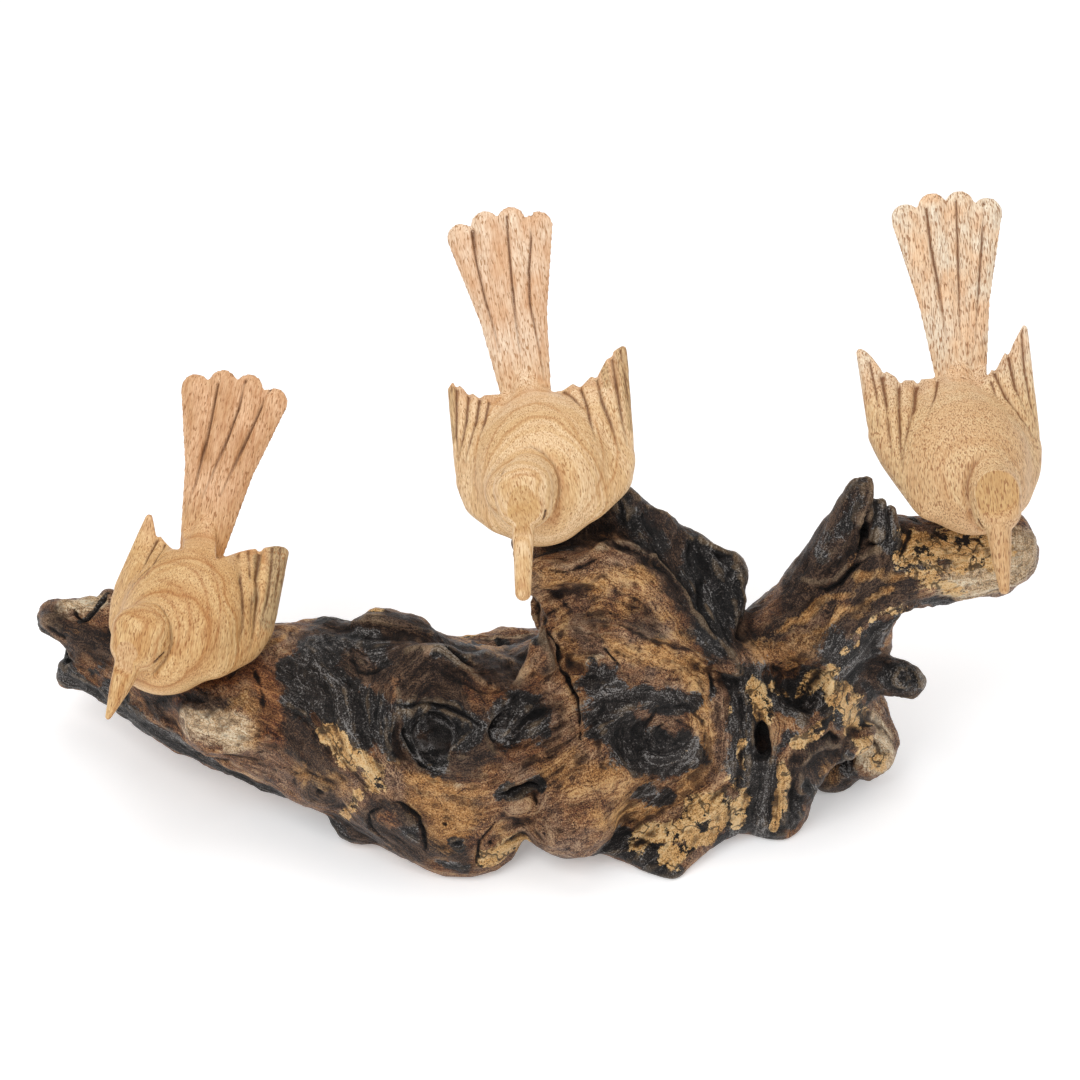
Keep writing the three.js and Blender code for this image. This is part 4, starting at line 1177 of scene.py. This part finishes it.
def workRoot(mesh):
    tree = treeOf(mesh)
    points = coordsOf(mesh)
    normals = normalsOf(mesh)
    edges = neighboursOf(mesh)
    pixel = 0.4
    rng = np.random.default_rng(7)
    headings = grainHeadings(points, normals, tree)
    broad = evened(blurred(combed(points, headings, grainNoise(points, 7.0, 2), 2.2, 9), edges, 2))
    fine = evened(blurred(combed(points, headings, blurred(rng.random(len(points)), edges, 2), 1.6, 9), edges, 1))
    # No edge is drawn with a ruler: every mark wanders by up to a millimetre or two.
    wander = np.stack([grainNoise(points, 9.0, 20 + k) * 3.0 + grainNoise(points, 2.8, 30 + k) for k in range(3)], 1)
    loose = points + wander
    close = points + 0.35 * wander
    field = {name: np.zeros(len(points)) for name in rootCoats}
    for name, values in field.items():
        for pixels, width, strength in rootLook[name]:
            gap = nearLine(loose, traced(tree, pixels))[0]
            reach = width * pixel
            values[:] = np.maximum(values, strength * (1 - smoothStep(0.2 * reach, 1.8 * reach, gap)))
    behind = smoothStep(0.0, 0.5, normals[:, 1])
    for name, size, seed, low, high in rootLook["behind"]:
        field[name] = np.maximum(field[name], behind * smoothStep(low, high, grainNoise(loose, size, seed)))
    lift = np.zeros(len(points))
    # painted shade along the grooves, gathered in one field with the dark rings and eyes of the knots
    dark = np.zeros(len(points))
    for centre, radius, rim, eye in rootLook["knots"]:
        middle = onSurface(tree, centre)
        gap = np.linalg.norm(points - middle, axis=1) / (radius * pixel)
        lift += 0.6 * rim * np.exp(-(((gap - 0.85) / 0.3) ** 2))
        lift -= 0.7 * eye * np.exp(-((gap / 0.4) ** 2))
        inside = gap < 1.3
        lift += np.where(inside, 0.2 * np.sin(gap * 18) * (1.3 - gap), 0)
        dark = np.maximum(dark, 0.35 * np.exp(-(((gap - 1.1) / 0.14) ** 2)))
        dark = np.maximum(dark, 0.5 * np.exp(-((gap / 0.3) ** 2)))
    for pixels, width, height in rootLook["ridges"]:
        gap = nearLine(close, traced(tree, pixels))[0]
        lift += height * np.exp(-((gap / (width * pixel)) ** 2))
    for pixels, width, deep, shade in rootLook["grooves"]:
        gap, _, along, _ = nearLine(close, traced(tree, pixels))
        fade = 0.35 + 0.65 * smoothStep(0, 0.3, np.minimum(along, 1 - along))
        cut = np.exp(-((gap / (width * pixel * fade)) ** 2))
        lift -= deep * cut * fade
        dark = np.maximum(dark, shade * cut * fade)
    # The grain stands up as ridges, most on rough wood and least on what was rubbed smooth.
    lumps = grainNoise(points, 13.0, 5)
    rough = 0.35 + 0.65 * smoothStep(-0.4, 0.5, grainNoise(points, 34.0, 9) + 0.4 * field["black"])
    lift += 1.2 * lumps + 0.5 * grainNoise(points, 4.0, 6) + rough * (1.7 * (broad - 0.5) + 0.9 * (fine - 0.5))
    clear = np.ones(len(points))
    for bird in birds.values():
        x, y, level, radius = bird["seat"]
        seat = np.linalg.norm(points - np.array((x + shift.x, y + shift.y, level)), axis=1)
        clear = np.minimum(clear, smoothStep(radius + 2, radius + 16, seat))
    low = smoothStep(0.5, 6.0, points[:, 2])
    shifted = points + normals * (np.where(lift > 0, lift * clear, lift) * (0.25 + 0.75 * low))[:, None]
    shifted[:, 2] = np.maximum(shifted[:, 2], 0.0)
    for bird in birds.values():
        x, y, level, radius = bird["seat"]
        over = np.hypot(shifted[:, 0] - x - shift.x, shifted[:, 1] - y - shift.y) < radius + 1.5
        over &= (shifted[:, 2] > level) & (shifted[:, 2] < level + 12)
        shifted[over, 2] = level
    moveTo(mesh, shifted)
    normals = normalsOf(mesh)
    # How far each point lies below its neighbours: the finish darkens hollows with it as painted shade, and lightens
    # ridges.
    mean = np.stack([blurred(shifted[:, a], edges, 6) for a in range(3)], 1)
    hollow = ((mean - shifted) * normals).sum(1)
    wide = np.stack([blurred(shifted[:, a], edges, 40) for a in range(3)], 1)
    deepHollow = ((wide - shifted) * normals).sum(1)
    hollowShare = np.clip(0.5 + 0.45 * hollow + 0.16 * deepHollow, 0, 1)
    for name, values in field.items():
        paint(mesh, name, values)
    paint(mesh, "broadGrain", broad)
    paint(mesh, "fineGrain", fine)
    paint(mesh, "hollow", hollowShare)
    paint(mesh, "crackShadeAndMarks", dark)


# Black coat tones: char black, whose lightest stop is a painted grey sheen.
blackAndSheenStops = [(0.2, "#040404"), (0.5, "#1d1a19"), (0.7, "#44403e"), (0.88, "#8f8c8a")]
veinStops = [(0.478, "#ffffff"), (0.492, "#33251c"), (0.5, "#1d1511"), (0.508, "#33251c"), (0.522, "#ffffff")]
rootFinish = {
    # Noise in the wood itself: name, size in millimetres, octaves, roughness.
    "noises": [
        ("tint", 24.0, 4.0, 0.6),  # slow drift between red and grey brown
        ("mottle", 8.0, 7.0, 0.68),  # cloudy patches with ragged edges
        ("vein", 15.0, 3.0, 0.55),  # where it passes its middle value, a dark line wanders
        ("grit", 0.95, 4.0, 0.75),  # open pores, drawn about as coarse as a pixel
        ("speck", 0.5, 0.0, 0.5),
    ],
    # Lines along the grain: name, drawn-out field that they are contours of, count, octaves.
    "lines": [
        ("wideLines", "broadGrain", 8.0, 2.0),
        ("thinLines", "fineGrain", 3.5, 1.5),
    ],
    "sums": {
        "streak": {
            "grit": 0.95, "speck": 0.85, "wideLines": 1.0, "thinLines": 1.5, "fineGrain": 0.12, "broadGrain": 0.12,
        },
        "torn": {"mottle": 1.5, "grit": 0.5, "fineGrain": 0.2, "wideLines": 0.5},
        "relief": {"mottle": 2.2, "grit": 0.8, "speck": 0.3, "wideLines": 0.8, "thinLines": 0.9, "fineGrain": 0.3},
    },
    "wood": [(0.20, "#3a2114"), (0.40, "#7c5237"), (0.55, "#a6754f"), (0.70, "#c8996a"), (0.85, "#e0ba8b")],
    # Coats over the wood: shown by, from, to, most, toned by, tones, way of mixing.
    "coats": [
        ("mottle", -1.0, -0.5, 0.65, "mottle", [(0.38, "#80695a"), (0.5, "#d4c1ae"), (0.6, "#ffffff")], "MULTIPLY"),
        ("tint", 0.44, 0.62, 0.5, "streak", [(0.2, "#33261f"), (0.5, "#836b5b"), (0.8, "#b8a28d")], "MIX"),
        ("pale", 0.35, 0.65, 0.95, "streak", [(0.15, "#86684c"), (0.5, "#e2bf94"), (0.8, "#fff0d2")], "MIX"),
        ("dark", 0.12, 0.5, 0.97, "streak", [(0.15, "#080504"), (0.5, "#2a1c16"), (0.88, "#6b5342")], "MIX"),
        ("golden", 0.25, 0.8, 0.9, "streak", [(0.15, "#683a1b"), (0.5, "#c68d50"), (0.8, "#ecbd80")], "MIX"),
        ("rust", 0.25, 0.75, 0.9, "streak", [(0.2, "#2c140c"), (0.5, "#774529"), (0.8, "#b98150")], "MIX"),
        ("black", 0.36, 0.50, 0.98, "streak", blackAndSheenStops, "MIX"),
        ("ochre", 0.44, 0.50, 1.0, "streak", [(0.15, "#84592d"), (0.45, "#deaa68"), (0.75, "#f6d39d")], "MIX"),
        # painted shade: hollows are darkened by how deep they lie
        ("hollow", 0.0, 0.01, 1.0, "hollow", [(0.5, "#ffffff"), (0.64, "#8c8480"), (0.8, "#3a3433")], "MULTIPLY"),
        ("hollow", 0.38, 0.15, 0.3, "streak", [(0.2, "#8a6a4c"), (0.8, "#d9bd98")], "MIX"),
        ("ochre", 0.44, 0.50, 0.8, "vein", veinStops, "MULTIPLY"),
        ("ochre", 0.44, 0.50, 1.0, "mottle", [(0.425, "#1d1511"), (0.45, "#ffffff")], "MULTIPLY"),
        ("pale", 0.35, 0.65, 0.35, "vein", veinStops, "MULTIPLY"),
        # painted shade in grooves and cracks, with the knots' dark rings and eyes
        ("crackShadeAndMarks", 0.1, 1.0, 1.0, "grit", [(0.3, "#070505"), (0.7, "#1a1411")], "MIX"),
    ],
}


def rootWood(look):
    material, tree = newMaterial("oiledRootWood")
    coords = addNode(tree, "TexCoord").outputs["Object"]
    values = {}
    for name in ("broadGrain", "fineGrain", "hollow", "crackShadeAndMarks", *rootCoats):
        values[name] = addNode(tree, "Attribute", attribute_name=name).outputs["Fac"]
    for name, size, octaves, rough in look["noises"]:
        settings = {"Vector": coords, "Scale": 1000 / size, "Detail": octaves, "Roughness": rough}
        values[name] = addNode(tree, "TexNoise", settings).outputs["Fac"]
    for name, drawn, count, octaves in look["lines"]:
        wobble = addNode(tree, "Math", {0: values["grit"], 1: 0.05, 2: values[drawn]}, operation="MULTIPLY_ADD")
        settings = {"W": wobble.outputs["Value"], "Scale": count, "Detail": octaves, "Roughness": 0.7}
        values[name] = addNode(tree, "TexNoise", settings, noise_dimensions="1D").outputs["Fac"]
    for name, weights in look["sums"].items():
        total = 0.5 - 0.5 * sum(weights.values())
        for part, weight in weights.items():
            settings = {0: values[part], 1: weight, 2: total}
            total = addNode(tree, "Math", settings, operation="MULTIPLY_ADD").outputs["Value"]
        values[name] = total
    for name in rootCoats:  # a painted patch is torn at its edges, along the grain
        settings = {0: values[name], 1: 0.9, 2: values["torn"]}
        ragged = addNode(tree, "Math", settings, operation="MULTIPLY_ADD").outputs["Value"]
        values[name] = addNode(tree, "Math", {0: ragged, 1: 0.5}, operation="SUBTRACT").outputs["Value"]
    colour = addNode(tree, "ValToRGB", {"Fac": values["streak"]}, stops=look["wood"]).outputs["Color"]
    for shown, low, high, most, toned, stops, way in look["coats"]:
        settings = {"Value": values[shown], "From Min": low, "From Max": high, "To Max": most}
        share = addNode(tree, "MapRange", settings).outputs["Result"]
        coat = addNode(tree, "ValToRGB", {"Fac": values[toned]}, stops=stops).outputs["Color"]
        settings = {"Factor": share, 6: colour, 7: coat}
        colour = addNode(tree, "Mix", settings, data_type="RGBA", blend_type=way).outputs[2]
    settings = {"Height": values["relief"], "Strength": 1.0, "Distance": 0.0012}
    bump = addNode(tree, "Bump", settings).outputs["Normal"]
    settings = {"Base Color": colour, "Roughness": 0.38, "IOR": 1.5, "Normal": bump, "Specular IOR Level": 0.3}
    shader = addNode(tree, "BsdfPrincipled", settings)
    addNode(tree, "OutputMaterial", {"Surface": shader.outputs["BSDF"]})
    return material


mesh = rootBlank()
workRoot(mesh)
print("root worked with", len(mesh.polygons), "faces")
mesh = thinned(mesh, rootLook["triangles"])
finishPiece(mesh, "root_carved", "root_base", rootWood(rootFinish))
print("root finished with", len(mesh.polygons), "faces")

# Floor and light, plain and pale
lights = {
    "sky": 0.5,
    "table": 0.24,  # the white table is lit from beneath
    "softboxes": [
        # name, place, aim, size, watts
        ("key", (-0.55, -0.75, 1.35), (0, -0.03, 0.1), 0.9, 9.5),
        ("fill", (0.9, -0.5, 0.9), (0, -0.03, 0.1), 0.9, 2.5),
        ("top", (0.0, 0.5, 1.4), (0, -0.03, 0.1), 1.0, 5.0),
    ],
}
floorMesh = bpy.data.meshes.new("floor")
floorShape = bmesh.new()
bmesh.ops.create_grid(floorShape, x_segments=1, y_segments=1, size=4.0)
floorShape.to_mesh(floorMesh)
floorShape.free()
floorMaterial, tree = newMaterial("whitePaperSweep")
settings = {"Base Color": linear("#fdfdfe"), "Roughness": 0.9}
settings.update({"Emission Color": linear("#ffffff"), "Emission Strength": lights["table"]})
shader = addNode(tree, "BsdfPrincipled", settings)
addNode(tree, "OutputMaterial", {"Surface": shader.outputs["BSDF"]})
floorMesh.materials.append(floorMaterial)
floor = bpy.data.objects.new("floor", floorMesh)
scene.collection.objects.link(floor)

world = bpy.data.worlds.new("studio")
world.use_nodes = True
world.node_tree.nodes["Background"].inputs["Color"].default_value = linear("#ffffff")
world.node_tree.nodes["Background"].inputs["Strength"].default_value = lights["sky"]
scene.world = world
for name, place, aim, size, watts in lights["softboxes"]:
    lamp = bpy.data.lights.new(name, "AREA")
    lamp.energy = watts
    lamp.size = size
    box = bpy.data.objects.new(name, lamp)
    box.location = place
    box.rotation_euler = (Vector(aim) - Vector(place)).to_track_quat("-Z", "Y").to_euler()
    scene.collection.objects.link(box)
scene.view_settings.view_transform = "Standard"
print("studio set")
